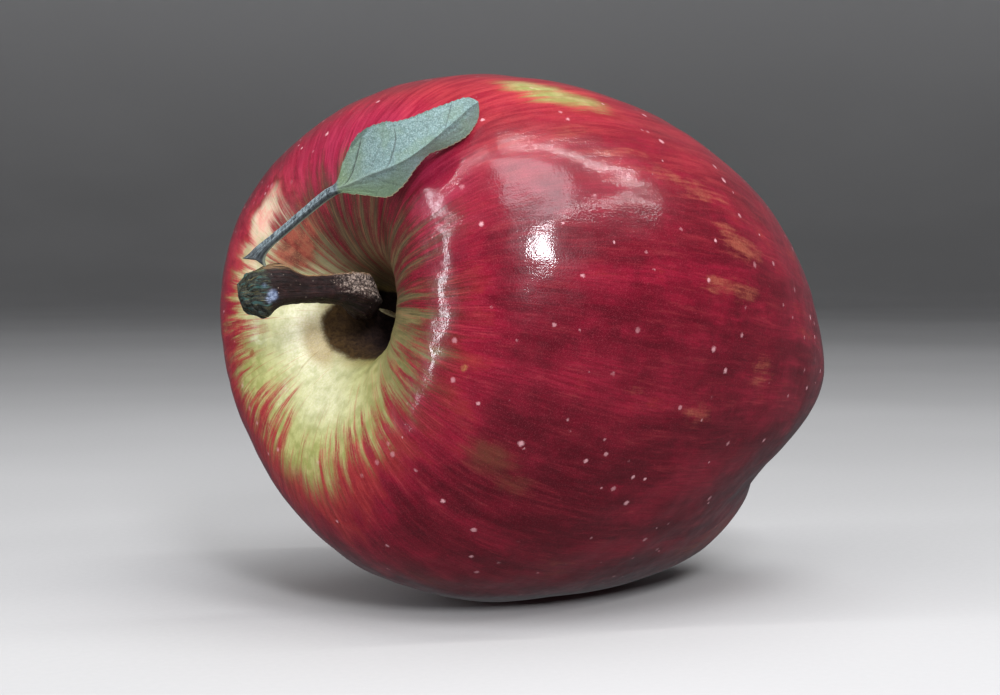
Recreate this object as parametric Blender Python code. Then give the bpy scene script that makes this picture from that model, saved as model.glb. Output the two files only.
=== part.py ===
# Apple lying on its side, with its woody stem and one small leaf.
#
# Frame: metres, +Z up.  The origin is the centre of the small flat spot that the fruit
# rests on.  The stem axis lies in the XZ plane with the stem end towards -X, raised a
# few degrees.  Lengths below are in metres, angles in degrees.
#
# The fruit is one closed skin drawn round the stem axis: a tapered hull, a wide stem
# cavity with a deeper narrow pit in it, a blossom basin, slow waves round the shoulder
# and the girth, and five crown lobes at the blossom end.

import math

import bmesh
import bpy
import numpy as np
from mathutils import Vector

MM = 0.001

# ------------------------------------------------------------------ driving dimensions
GIRTH_RADIUS = 0.0370                        # radius of the fruit at its girth
HALF_LENGTH = 1.24                           # half length of the hull, in girth radii
TAPER_1, TAPER_2 = 0.15, 0.13                # how the hull narrows to the blossom end
END_SQUARE = 0.08
CAVITY_DEPTH, CAVITY_WIDTH = 0.32, 0.44      # wide stem cavity, in girth radii
PIT_DEPTH, PIT_WIDTH, PIT_EDGE = 0.27, 0.15, 4.5
BASIN_DEPTH, BASIN_WIDTH, BASIN_EDGE = 0.30, 0.30, 1.7
# waves and lobes: angles round the stem axis, 0 is up and 90 is towards +Y
SHOULDER_WAVES = ((2, 0.019, 87.0), (3, 0.039, 87.0), (4, 0.014, 72.0))
GIRTH_WAVES = ((2, 0.017, 97.0), (3, 0.042, 57.0))
CROWN_LOBES = ((-96.0, 0.24), (-32.0, 0.09), (46.0, 0.18), (116.0, 0.18), (-167.0, 0.38))
LOBE_SHARPNESS, LOBE_PUSH = 9.0, 0.64
SHOULDER_LEAN = (0.03, 0.04)
CROWN_LEAN = (0.07, -0.05)

LIE_TILT = 8.4                               # the stem end is raised by this angle
FRUIT_CENTRE = (0.00226, -0.00039, 0.03697)  # middle of the hull above the flat spot
FRUIT_ROWS, FRUIT_COLUMNS = 40, 60

GAP = 0.00033                                # left between touching pieces

# stem: centre line and radius in the fruit's own axes (up, +Y side, along the stem axis), mm
STEM_LINE = (
    ((0.965, 4.27, 30.37), 2.00),
    ((0.95, 3.50, 31.00), 2.10),
    ((0.97, 2.30, 31.90), 2.20),
    ((1.25, 1.0, 33.1), 2.35),
    ((1.80, -0.10, 34.9), 2.40),
    ((2.05, -0.3, 37.6), 2.10),
    ((1.7, -0.1, 41.0), 1.85),
    ((1.2, 0.2, 44.3), 1.85),
    ((0.85, 0.5, 47.1), 2.15),
    ((0.3, 1.0, 49.8), 2.45),
    ((-0.4, 1.8, 51.2), 2.15),
    ((-0.8, 2.4, 52.1), 1.55),
)
# swellings of the knobby end: place along the axis, angle (0 up, 180 down), height, spread
STEM_KNOBS = ((47.8, 10.0, 1.15, 1.9), (50.5, 175.0, 1.05, 1.4), (34.8, -5.0, 0.40, 2.2))
STEM_ROWS, STEM_SIDES = 30, 16

# leaf: line of the petiole and midrib in world axes, mm
PETIOLE_LINE = ((-47.65, 0.9, 48.5), (-47.2, 0.45, 49.6), (-46.3, -0.3, 50.8), (-45.1, -1.3, 52.1),
                (-42.8, -3.3, 54.7), (-40.5, -5.5, 57.2))
PETIOLE_RADIUS = (1.25, 0.85, 0.62, 0.55, 0.55, 0.60)
MIDRIB_LINE = ((-40.0, -9.1, 58.2), (-39.5, -12.6, 59.3), (-38.6, -15.6, 60.2), (-37.4, -17.8, 61.3),
               (-35.8, -19.2, 62.8), (-33.8, -20.1, 64.6), (-31.4, -20.5, 66.5), (-29.4, -20.4, 67.9),
               (-27.9, -20.3, 68.7))
UPPER_HALF = (3.2, 5.6, 6.05, 5.75, 5.0, 3.9, 2.85, 1.9, 0.9)     # blade width above the midrib
LOWER_HALF = (2.0, 3.3, 3.2, 2.4, 2.3, 2.5, 2.6, 2.0, 0.5)     # blade width below it
UPPER_WAY = (-0.03, 0.67, 0.74)              # the upper half leans out along the shoulder
LOWER_WAY = (0.72, 0.22, -0.66)              # the lower half is folded in towards the skin
LEAF_THICK = 0.00045
LEAF_STEPS = 34

# dried calyx lobes in the blossom basin
SEPALS = 5
SEPAL_FOOT = 0.0027                          # distance of each foot from the axis
SEPAL_LENGTH = 0.0046
SEPAL_WIDTH = 0.0021
SEPAL_THICK = 0.00045

# dry bud scale beside the foot of the stem, in the fruit's own axes, mm
SCALE_FROM, SCALE_TO = (-0.36, -0.96, 28.60), (0.28, 0.60, 30.08)
SCALE_WIDTH, SCALE_THICK = 0.00066, 0.00032

# ------------------------------------------------------------------ axes
TILT = math.radians(LIE_TILT)
UP_AXIS = Vector((math.sin(TILT), 0.0, math.cos(TILT)))
SIDE_AXIS = Vector((0.0, 1.0, 0.0))
STEM_AXIS = Vector((-math.cos(TILT), 0.0, math.sin(TILT)))
CENTRE = Vector(FRUIT_CENTRE)


def place(up, side, along):
    """world point of a point given in the fruit's own axes, metres"""
    return CENTRE + UP_AXIS * float(up) + SIDE_AXIS * float(side) + STEM_AXIS * float(along)


def clear_scene():
    for obj in list(bpy.data.objects):
        bpy.data.objects.remove(obj, do_unlink=True)
    for mesh in list(bpy.data.meshes):
        bpy.data.meshes.remove(mesh)
    for mat in list(bpy.data.materials):
        bpy.data.materials.remove(mat)


def material(name, colour, roughness, metallic=0.0):
    mat = bpy.data.materials.new(name)
    mat.use_nodes = True
    shader = mat.node_tree.nodes["Principled BSDF"]
    shader.inputs["Base Color"].default_value = (*colour, 1.0)
    shader.inputs["Roughness"].default_value = roughness
    shader.inputs["Metallic"].default_value = metallic
    mat.diffuse_color = (*colour, 1.0)
    return mat


def finish(name, bm, mat, sharp=50.0):
    bmesh.ops.triangulate(bm, faces=list(bm.faces))
    bmesh.ops.recalc_face_normals(bm, faces=list(bm.faces))
    if bm.calc_volume(signed=True) < 0:
        bmesh.ops.reverse_faces(bm, faces=list(bm.faces))
    mesh = bpy.data.meshes.new(name)
    bm.to_mesh(mesh)
    bm.free()
    mesh.materials.append(mat)
    mesh.shade_smooth()
    mesh.set_sharp_from_angle(angle=math.radians(sharp))
    obj = bpy.data.objects.new(name, mesh)
    bpy.context.scene.collection.objects.link(obj)
    return obj


def loft(bm, rings):
    """closed skin over rings of equal count, with a fan cap at each end"""
    rows = [[bm.verts.new(p) for p in ring] for ring in rings]
    n = len(rows[0])
    for a, b in zip(rows[:-1], rows[1:]):
        for k in range(n):
            j = (k + 1) % n
            bm.faces.new((a[k], a[j], b[j], b[k]))
    for row in (rows[0], rows[-1]):
        mid = Vector((0.0, 0.0, 0.0))
        for v in row:
            mid += v.co
        tip = bm.verts.new(mid / n)
        for k in range(n):
            bm.faces.new((row[k], row[(k + 1) % n], tip))


def spline(points, t):
    """smooth point at t in 0..1 on a curve through the points, in equal steps of t"""
    n = len(points) - 1
    x = min(max(t, 0.0), 1.0) * n
    i = min(int(x), n - 1)
    f = x - i
    p = [np.asarray(points[min(max(i + k, 0), n)], float) for k in (-1, 0, 1, 2)]
    return 0.5 * ((2 * p[1]) + (-p[0] + p[2]) * f + (2 * p[0] - 5 * p[1] + 4 * p[2] - p[3]) * f * f
                  + (-p[0] + 3 * p[1] - 3 * p[2] + p[3]) * f ** 3)


# ------------------------------------------------------------------ fruit
def hull_point(s, ph):
    """s runs from 0 at the stem pole to pi at the blossom pole, ph goes round the axis"""
    S, C = math.sin(s), math.cos(s)
    up, lo = max(C, 0.0), max(-C, 0.0)
    r0 = S * (1 + TAPER_1 * C + TAPER_2 * C * C)
    w = C * (HALF_LENGTH + END_SQUARE * S * S)
    swell = 0.0
    for n, a, f in SHOULDER_WAVES:
        swell += up ** 1.3 * a * math.cos(n * (ph - math.radians(f)))
    for n, a, f in GIRTH_WAVES:
        swell += S * S * a * math.cos(n * (ph - math.radians(f)))
    lobe = 0.0
    for f, a in CROWN_LOBES:
        lobe += a * (math.exp(LOBE_SHARPNESS * (math.cos(ph - math.radians(f)) - 1)) - 0.25)
    r = r0 * (1 + swell + lo ** 1.3 * lobe)
    if C > 0:
        w -= CAVITY_DEPTH * math.exp(-(r0 / CAVITY_WIDTH) ** 2)
        w -= PIT_DEPTH / (1 + (r0 / PIT_WIDTH) ** PIT_EDGE)
    else:
        w -= LOBE_PUSH * lobe * math.exp(-((r0 - 0.48) / 0.24) ** 2) * min(lo * 1.5, 1.0)
        w += BASIN_DEPTH * math.exp(-(r0 / BASIN_WIDTH) ** BASIN_EDGE)
    x, y = r * math.cos(ph), r * math.sin(ph)
    w += up * (SHOULDER_LEAN[0] * x + SHOULDER_LEAN[1] * y)
    w -= lo * (CROWN_LEAN[0] * x + CROWN_LEAN[1] * y)
    return x * GIRTH_RADIUS, y * GIRTH_RADIUS, w * GIRTH_RADIUS


def make_fruit(mat):
    bm = bmesh.new()
    rows = []
    for i in range(1, FRUIT_ROWS):
        t = i / FRUIT_ROWS
        s = math.pi * (t - 0.115 * math.sin(2 * math.pi * t))     # closer rows at both ends
        rows.append([bm.verts.new(place(*hull_point(s, 2 * math.pi * k / FRUIT_COLUMNS)))
                     for k in range(FRUIT_COLUMNS)])
    n = FRUIT_COLUMNS
    for a, b in zip(rows[:-1], rows[1:]):
        for k in range(n):
            j = (k + 1) % n
            bm.faces.new((a[k], a[j], b[j], b[k]))
    for row, s in ((rows[0], 0.0), (rows[-1], math.pi)):
        pole = bm.verts.new(place(*hull_point(s, 0.0)))
        for k in range(n):
            bm.faces.new((row[k], row[(k + 1) % n], pole))
    bmesh.ops.recalc_face_normals(bm, faces=list(bm.faces))
    # the flat spot: everything below z = 0 is taken off and the cut is closed flat
    geom = list(bm.verts) + list(bm.edges) + list(bm.faces)
    cut = bmesh.ops.bisect_plane(bm, geom=geom, dist=1e-6, plane_co=(0, 0, 0), plane_no=(0, 0, -1),
                                 clear_outer=True)
    edges = [g for g in cut["geom_cut"] if isinstance(g, bmesh.types.BMEdge)]
    bmesh.ops.contextual_create(bm, geom=edges)
    return finish("fruit", bm, mat, sharp=60.0)


# ------------------------------------------------------------------ stem
def make_stem(mat):
    line = [p for p, _ in STEM_LINE]
    radii = [(r,) for _, r in STEM_LINE]
    rings = []
    for i in range(STEM_ROWS + 1):
        t = i / STEM_ROWS
        c = spline(line, t)
        ahead = spline(line, min(t + 0.01, 1.0)) - spline(line, max(t - 0.01, 0.0))
        ahead /= np.linalg.norm(ahead)
        first = np.array((1.0, 0.0, 0.0)) - ahead * ahead[0]
        first /= np.linalg.norm(first)
        second = np.cross(ahead, first)
        r = float(spline(radii, t)[0])
        ring = []
        for k in range(STEM_SIDES):
            a = 2 * math.pi * k / STEM_SIDES
            bump = 0.05 * math.sin(3 * a + 4.0 * t) + 0.04 * math.sin(5 * a + 9.0 * t)
            rr = r * (1 + bump)
            for at, turn, high, spread in STEM_KNOBS:
                rr += (high * math.exp(-((c[2] - at) / spread) ** 2)
                       * math.exp(2.2 * (math.cos(a - math.radians(turn)) - 1)))
            p = c + rr * (math.cos(a) * first + math.sin(a) * second)
            ring.append(place(p[0] * MM, p[1] * MM, p[2] * MM))
        rings.append(ring)
    bm = bmesh.new()
    loft(bm, rings)
    return finish("stem", bm, mat)


# ------------------------------------------------------------------ leaf
def make_leaf(mat):
    line = PETIOLE_LINE + MIDRIB_LINE
    upper = [(r,) for r in PETIOLE_RADIUS] + [(w,) for w in UPPER_HALF]
    lower = [(r,) for r in PETIOLE_RADIUS] + [(w,) for w in LOWER_HALF]
    last_round = len(PETIOLE_LINE) - 1
    up_way = Vector(UPPER_WAY).normalized()
    lo_way = Vector(LOWER_WAY).normalized()
    across = (-1.0, -0.5, 0.0, 0.33, 0.67, 1.0)
    rings = []
    for i in range(LEAF_STEPS + 1):
        t = i / LEAF_STEPS
        at = t * (len(line) - 1)
        c = Vector(spline(line, t)) * MM
        ahead = Vector(spline(line, min(t + 0.01, 1.0)) - spline(line, max(t - 0.01, 0.0))).normalized()
        side = (up_way - ahead * up_way.dot(ahead)).normalized()
        out = ahead.cross(side).normalized()
        ru, rl = float(spline(upper, t)[0]) * MM, float(spline(lower, t)[0]) * MM
        flat = min(max(at - last_round, 0.0), 1.0)                 # 0 petiole, 1 blade
        thick = LEAF_THICK * (1.0 - 0.35 * max(0.0, (at - 12.0) / 2.0))
        front, back = [], []
        for q in across:
            # round section of the petiole
            a = q * math.pi / 2
            rnd_f = side * (math.sin(a) * 0.92 * ru) + out * (math.cos(a) * 0.92 * ru + 0.06 * ru)
            rnd_b = side * (math.sin(a) * 0.92 * ru) - out * (math.cos(a) * 0.92 * ru + 0.06 * ru)
            # thin folded section of the blade
            way = side * (q * ru) if q >= 0 else (lo_way - ahead * lo_way.dot(ahead)) * (-q * rl)
            bow = out * (0.10 * ru * q * q if q >= 0 else 0.0)
            half = thick * (0.5 + 0.25 * (1 - abs(q)))
            fl_f, fl_b = way + bow + out * half, way + bow - out * half
            front.append(c + rnd_f * (1 - flat) + fl_f * flat)
            back.append(c + rnd_b * (1 - flat) + fl_b * flat)
        rings.append(front + back[::-1])
    bm = bmesh.new()
    loft(bm, rings)
    return finish("leaf", bm, mat, sharp=70.0)


# ------------------------------------------------------------------ dried calyx lobes
def make_sepal(index, mat):
    turn = 2 * math.pi * (index + 0.35) / SEPALS
    floor = hull_point(math.pi - 0.088, turn)[2] - GAP
    out_way = np.array((math.cos(turn), math.sin(turn), 0.0))
    side_way = np.array((-math.sin(turn), math.cos(turn), 0.0))
    rings = []
    steps = 7
    for i in range(steps + 1):
        t = i / steps
        r = SEPAL_FOOT - 0.0007 * math.sin(math.pi * min(t * 1.4, 1.0)) + 0.0024 * max(t - 0.5, 0.0) ** 1.5
        w = floor - SEPAL_LENGTH * t * (1 - 0.12 * t)
        wide = SEPAL_WIDTH * (1.0 - 0.72 * t) * 0.5 + 0.00012
        thick = SEPAL_THICK * (1.0 - 0.45 * t) * 0.5
        ring = []
        for k in range(8):
            a = 2 * math.pi * k / 8
            q = math.cos(a)
            p = (out_way * (r + thick * math.sin(a) + 0.00025 * q * q) + side_way * (wide * q))
            ring.append(place(p[0], p[1], w))
        rings.append(ring)
    bm = bmesh.new()
    loft(bm, rings)
    return finish("sepal_%d" % (index + 1), bm, mat, sharp=70.0)


# ------------------------------------------------------------------ dry bud scale
def make_scale(mat):
    a, b = np.array(SCALE_FROM) * MM, np.array(SCALE_TO) * MM
    ahead = (b - a) / np.linalg.norm(b - a)
    first = np.cross(ahead, (0.0, 1.0, 0.0))
    first /= np.linalg.norm(first)
    second = np.cross(ahead, first)
    rings = []
    for i in range(6):
        t = i / 5
        c = a + (b - a) * t + second * 0.00012 * math.sin(math.pi * t)
        wide = SCALE_WIDTH * 0.5 * (0.45 + 0.55 * math.sin(math.pi * (0.25 + 0.6 * t)))
        ring = []
        for k in range(8):
            an = 2 * math.pi * k / 8
            p = c + first * (wide * math.cos(an)) + second * (SCALE_THICK * 0.5 * math.sin(an))
            ring.append(place(*p))
        rings.append(ring)
    bm = bmesh.new()
    loft(bm, rings)
    return finish("bud_scale", bm, mat, sharp=70.0)


def main():
    clear_scene()
    skin = material("skin_red", (0.32, 0.012, 0.022), 0.28)
    wood = material("stem_wood", (0.085, 0.045, 0.03), 0.75)
    green = material("leaf_green", (0.29, 0.40, 0.33), 0.7)
    dry = material("dry_sepal", (0.12, 0.075, 0.045), 0.85)
    straw = material("dry_scale", (0.50, 0.42, 0.27), 0.8)
    make_fruit(skin)
    make_stem(wood)
    make_leaf(green)
    for i in range(SEPALS):
        make_sepal(i, dry)
    make_scale(straw)


main()
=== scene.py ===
# Looks of the apple: skin, stem, leaf, dried calyx and bud scale, around the fixed frame.
# Metres, +Z up.  Angles round the stem axis: 0 is up, 90 is towards +Y.
import math

import bmesh
import bpy
import numpy as np
from mathutils import Matrix, Vector


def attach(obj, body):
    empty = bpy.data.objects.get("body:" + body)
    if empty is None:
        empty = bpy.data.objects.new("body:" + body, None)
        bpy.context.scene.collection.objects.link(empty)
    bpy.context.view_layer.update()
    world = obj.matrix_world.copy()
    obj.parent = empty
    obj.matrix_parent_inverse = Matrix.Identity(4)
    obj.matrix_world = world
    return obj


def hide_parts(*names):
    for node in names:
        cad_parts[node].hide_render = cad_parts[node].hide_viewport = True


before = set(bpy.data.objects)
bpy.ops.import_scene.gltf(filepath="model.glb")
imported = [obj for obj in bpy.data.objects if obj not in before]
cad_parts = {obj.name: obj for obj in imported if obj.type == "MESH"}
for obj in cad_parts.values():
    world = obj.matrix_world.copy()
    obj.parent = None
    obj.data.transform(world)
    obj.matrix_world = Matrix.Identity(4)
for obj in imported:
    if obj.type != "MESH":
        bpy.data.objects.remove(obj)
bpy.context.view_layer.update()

MM = 0.001

# ------------------------------------------------------------------ shape of the fruit
GIRTH_RADIUS = 0.0370
HALF_LENGTH = 1.24
TAPER_1, TAPER_2 = 0.15, 0.13
END_SQUARE = 0.08
CAVITY_DEPTH, CAVITY_WIDTH = 0.32, 0.44
PIT_DEPTH, PIT_WIDTH, PIT_EDGE = 0.27, 0.15, 4.5
BASIN_DEPTH, BASIN_WIDTH, BASIN_EDGE = 0.30, 0.30, 1.7
SHOULDER_WAVES = ((2, 0.019, 87.0), (3, 0.039, 87.0), (4, 0.014, 72.0))
GIRTH_WAVES = ((2, 0.017, 97.0), (3, 0.042, 57.0))
CROWN_LOBES = ((-96.0, 0.24), (-32.0, 0.09), (46.0, 0.18), (116.0, 0.18), (-167.0, 0.38))
LOBE_SHARPNESS, LOBE_PUSH = 9.0, 0.64
SHOULDER_LEAN = (0.03, 0.04)
CROWN_LEAN = (0.07, -0.05)
LIE_TILT = 8.4
FRUIT_CENTRE = np.array((0.00226, -0.00039, 0.03697))

TILT = math.radians(LIE_TILT)
AXES = np.array(((math.sin(TILT), 0.0, math.cos(TILT)),
                 (0.0, 1.0, 0.0),
                 (-math.cos(TILT), 0.0, math.sin(TILT))))      # rows: up, side, along the stem


def place(p):
    """world points of points given in the fruit's own axes"""
    return np.asarray(p) @ AXES + FRUIT_CENTRE


def hull(s, ph):
    """skin of the fruit in its own axes: s 0 at the stem pole, pi at the blossom pole"""
    S, C = np.sin(s), np.cos(s)
    up, lo = np.clip(C, 0, 1), np.clip(-C, 0, 1)
    r0 = S * (1 + TAPER_1 * C + TAPER_2 * C * C)
    w = C * (HALF_LENGTH + END_SQUARE * S * S)
    swell = 0.0
    for n, a, f in SHOULDER_WAVES:
        swell = swell + up ** 1.3 * a * np.cos(n * (ph - math.radians(f)))
    for n, a, f in GIRTH_WAVES:
        swell = swell + S * S * a * np.cos(n * (ph - math.radians(f)))
    lobe = 0.0
    for f, a in CROWN_LOBES:
        lobe = lobe + a * (np.exp(LOBE_SHARPNESS * (np.cos(ph - math.radians(f)) - 1)) - 0.25)
    r = r0 * (1 + swell + lo ** 1.3 * lobe)
    w = w - LOBE_PUSH * lobe * np.exp(-((r0 - 0.48) / 0.24) ** 2) * (C < 0) * np.clip(lo * 1.5, 0, 1)
    w = w - (CAVITY_DEPTH * np.exp(-(r0 / CAVITY_WIDTH) ** 2)
             + PIT_DEPTH / (1 + (r0 / PIT_WIDTH) ** PIT_EDGE)) * (C > 0)
    w = w + BASIN_DEPTH * np.exp(-(r0 / BASIN_WIDTH) ** BASIN_EDGE) * (C < 0)
    x, y = r * np.cos(ph), r * np.sin(ph)
    w = w + up * (SHOULDER_LEAN[0] * x + SHOULDER_LEAN[1] * y) - lo * (CROWN_LEAN[0] * x + CROWN_LEAN[1] * y)
    return np.stack([x, y, w], -1) * GIRTH_RADIUS


# ------------------------------------------------------------------ small tools
def waves(points, size, seed, octaves=3, count=14):
    """smooth noise, about -1 to 1, from sums of plane waves; size is the feature size"""
    rng = np.random.RandomState(seed)
    out, amp, total = 0.0, 1.0, 0.0
    for _ in range(octaves):
        acc = 0.0
        for _ in range(count):
            k = rng.normal(size=3)
            k *= (2 * math.pi / size) * rng.uniform(0.6, 1.3) / np.linalg.norm(k)
            acc = acc + np.sin(points @ k + rng.uniform(0, 2 * math.pi))
        out = out + amp * acc / math.sqrt(count * 0.5) * 0.6
        total += amp
        amp, size = amp * 0.5, size * 0.5
    return out / total


def step(a, b, x):
    t = np.clip((np.asarray(x, float) - a) / (b - a), 0, 1)
    return t * t * (3 - 2 * t)


def round_table(ph_deg, rows):
    """value by angle, linear between rows of (angle, value) and closed round the circle"""
    a = np.array([r[0] for r in rows], float)
    v = np.array([r[1] for r in rows], float)
    a = np.concatenate([a - 360, a, a + 360])
    v = np.concatenate([v, v, v])
    return np.interp(ph_deg, a, v)


def turn(ph_deg, at):
    """signed angle from at, in degrees"""
    return (ph_deg - at + 180.0) % 360.0 - 180.0


def spline(points, t):
    """smooth curve through rows of numbers; t is an array in 0..1, equal steps per row"""
    p = np.asarray(points, float)
    if p.ndim == 1:
        p = p[:, None]
    n = len(p) - 1
    x = np.clip(np.atleast_1d(t), 0, 1) * n
    i = np.minimum(x.astype(int), n - 1)
    f = (x - i)[:, None]
    a, b, c, d = (p[np.clip(i + k, 0, n)] for k in (-1, 0, 1, 2))
    return 0.5 * (2 * b + (c - a) * f + (2 * a - 5 * b + 4 * c - d) * f * f + (3 * b - a - 3 * c + d) * f ** 3)


def unit(v):
    return v / (np.linalg.norm(v, axis=-1, keepdims=True) + 1e-12)


def mesh_object(name, verts, faces, mat, attributes=None, sharp=None):
    mesh = bpy.data.meshes.new(name)
    mesh.from_pydata([tuple(v) for v in np.asarray(verts).tolist()], [], faces)
    mesh.update()
    bm = bmesh.new()
    bm.from_mesh(mesh)
    bmesh.ops.recalc_face_normals(bm, faces=list(bm.faces))
    if bm.calc_volume(signed=True) < 0:
        bmesh.ops.reverse_faces(bm, faces=list(bm.faces))
    bm.to_mesh(mesh)
    bm.free()
    for key, data in (attributes or {}).items():
        data = np.asarray(data, np.float32)
        if data.ndim == 1:
            attr = mesh.attributes.new(key, "FLOAT", "POINT")
            attr.data.foreach_set("value", data)
        else:
            attr = mesh.attributes.new(key, "FLOAT_VECTOR", "POINT")
            attr.data.foreach_set("vector", data.ravel())
    mesh.shade_smooth()
    if sharp:
        mesh.set_sharp_from_angle(angle=math.radians(sharp))
    mesh.materials.append(mat)
    obj = bpy.data.objects.new(name, mesh)
    bpy.context.scene.collection.objects.link(obj)
    return obj


def tube_faces(rows, cols, close_start, close_end):
    """quads over rows x cols of points, round in cols; close_* are indices of pole points"""
    f = []
    for i in range(rows - 1):
        for k in range(cols):
            j = (k + 1) % cols
            f.append((i * cols + k, i * cols + j, (i + 1) * cols + j, (i + 1) * cols + k))
    for k in range(cols):
        j = (k + 1) % cols
        f.append((k, close_start, j))
        f.append(((rows - 1) * cols + k, (rows - 1) * cols + j, close_end))
    return f


# ------------------------------------------------------------------ node tools
class Shade:
    """short calls for building a material's nodes"""

    def __init__(self, name):
        self.mat = bpy.data.materials.new(name)
        self.mat.use_nodes = True
        self.t = self.mat.node_tree
        self.t.nodes.clear()
        self.out = self.t.nodes.new("ShaderNodeOutputMaterial")
        self.bsdf = self.t.nodes.new("ShaderNodeBsdfPrincipled")
        self.t.links.new(self.bsdf.outputs[0], self.out.inputs[0])

    def put(self, socket, value):
        if isinstance(value, bpy.types.NodeSocket):
            self.t.links.new(value, socket)
        elif isinstance(value, tuple) and len(value) == 3 and socket.type == "RGBA":
            socket.default_value = (*value, 1.0)
        else:
            socket.default_value = value

    def node(self, kind, **settings):
        n = self.t.nodes.new(kind)
        for k, v in settings.items():
            setattr(n, k, v)
        return n

    def attr(self, name, vector=False):
        n = self.node("ShaderNodeAttribute", attribute_name=name)
        return n.outputs["Vector" if vector else "Fac"]

    def coords(self):
        """object coordinates in millimetres"""
        n = self.node("ShaderNodeTexCoord")
        return self.vec("SCALE", n.outputs["Object"], scale=1000.0)

    def vec(self, op, a, b=None, scale=None):
        n = self.node("ShaderNodeVectorMath", operation=op)
        self.put(n.inputs[0], a)
        if b is not None:
            self.put(n.inputs[1], b)
        if scale is not None:
            self.put(n.inputs["Scale"], scale)
        return n.outputs[0]

    def math(self, op, a, b=0.5, c=None, clamp=False):
        n = self.node("ShaderNodeMath", operation=op, use_clamp=clamp)
        self.put(n.inputs[0], a)
        self.put(n.inputs[1], b)
        if c is not None:
            self.put(n.inputs[2], c)
        return n.outputs[0]

    def noise(self, vector, scale, detail=3.0, rough=0.55, warp=0.0, out="Fac"):
        n = self.node("ShaderNodeTexNoise", noise_dimensions="3D")
        self.put(n.inputs["Vector"], vector)
        n.inputs["Scale"].default_value = scale
        n.inputs["Detail"].default_value = detail
        n.inputs["Roughness"].default_value = rough
        n.inputs["Distortion"].default_value = warp
        return n.outputs[out]

    def cells(self, vector, scale, out="Distance", feature="F1", random=1.0):
        n = self.node("ShaderNodeTexVoronoi", voronoi_dimensions="3D", feature=feature)
        self.put(n.inputs["Vector"], vector)
        n.inputs["Scale"].default_value = scale
        if "Randomness" in n.inputs:
            n.inputs["Randomness"].default_value = random
        return n.outputs[out]

    def ramp(self, value, low, high, to_low=0.0, to_high=1.0, smooth=True):
        n = self.node("ShaderNodeMapRange", interpolation_type="SMOOTHSTEP" if smooth else "LINEAR", clamp=True)
        self.put(n.inputs["Value"], value)
        for key, v in (("From Min", low), ("From Max", high), ("To Min", to_low), ("To Max", to_high)):
            self.put(n.inputs[key], v)
        return n.outputs["Result"]

    def mix(self, fac, a, b, blend="MIX"):
        n = self.node("ShaderNodeMix", data_type="RGBA", blend_type=blend, clamp_factor=True)
        self.put(n.inputs[0], fac)
        self.put(n.inputs[6], a)
        self.put(n.inputs[7], b)
        return n.outputs[2]

    def bump(self, height, strength, distance, before=None):
        n = self.node("ShaderNodeBump")
        self.put(n.inputs["Height"], height)
        n.inputs["Strength"].default_value = strength
        n.inputs["Distance"].default_value = distance
        if before is not None:
            self.put(n.inputs["Normal"], before)
        return n.outputs["Normal"]

    def set(self, key, value):
        self.put(self.bsdf.inputs[key], value)


def rgb(r, g, b):
    """linear colour from 0-255 screen values"""
    def lin(c):
        c /= 255.0
        return c / 12.92 if c <= 0.04045 else ((c + 0.055) / 1.055) ** 2.4
    return (lin(r), lin(g), lin(b))


# ------------------------------------------------------------------ skin
SKIN_ROWS, SKIN_COLUMNS = 244, 396

# where the red starts, in parts of the way from pole to pole, by angle round the stem
RED_START = ((-180, 0.170), (-165, 0.152), (-150, 0.134), (-135, 0.124), (-120, 0.124), (-105, 0.126),
             (-90, 0.114), (-75, 0.102), (-60, 0.090), (-45, 0.077), (-30, 0.071), (-15, 0.071), (0, 0.073),
             (15, 0.076), (30, 0.080), (45, 0.088), (60, 0.096), (75, 0.116), (90, 0.128), (105, 0.138),
             (120, 0.144), (135, 0.150), (150, 0.154), (165, 0.164))
# how many parts the change to red takes, by the same angle
RED_BLEND = ((-180, 0.060), (-150, 0.060), (-120, 0.070), (-90, 0.080), (-60, 0.085), (-30, 0.090),
             (0, 0.090), (30, 0.080), (60, 0.060), (90, 0.045), (120, 0.045), (150, 0.055))
# how olive the ground colour is in the stem cavity, by the same angle: 0 lime green, 1 dark olive and tan
OLIVE = ((-180, 0.05), (-160, 0.12), (-140, 0.35), (-120, 0.62), (-100, 0.82), (-80, 0.95), (-50, 1.0), (-10, 1.0),
         (20, 1.0), (45, 0.80), (65, 0.40), (85, 0.12), (120, 0.0), (150, 0.0))
# patches where the ground colour shows: (part of the way, angle, length, width in degrees, strength)
PATCHES = ((0.143, 54.0, 0.017, 9.0, 0.95), (0.160, 44.0, 0.014, 6.5, 0.55), (0.126, 66.0, 0.016, 8.0, 0.60),
           (0.346, -31.5, 0.046, 8.5, 0.98), (0.392, -38.0, 0.036, 5.0, 0.62), (0.322, -24.0, 0.030, 7.0, 0.34),
           (0.250, -176.0, 0.030, 8.0, 0.30),
           (0.420, 96.0, 0.110, 20.0, 0.80), (0.560, 118.0, 0.090, 14.0, 0.70), (0.330, 30.0, 0.050, 8.0, 0.66),
           (0.620, 20.0, 0.080, 8.0, 0.55), (0.520, 165.0, 0.090, 12.0, 0.62), (0.700, -150.0, 0.06, 9.0, 0.50),
           (0.300, 140.0, 0.060, 9.0, 0.55), (0.760, 70.0, 0.060, 10.0, 0.50))
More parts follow.
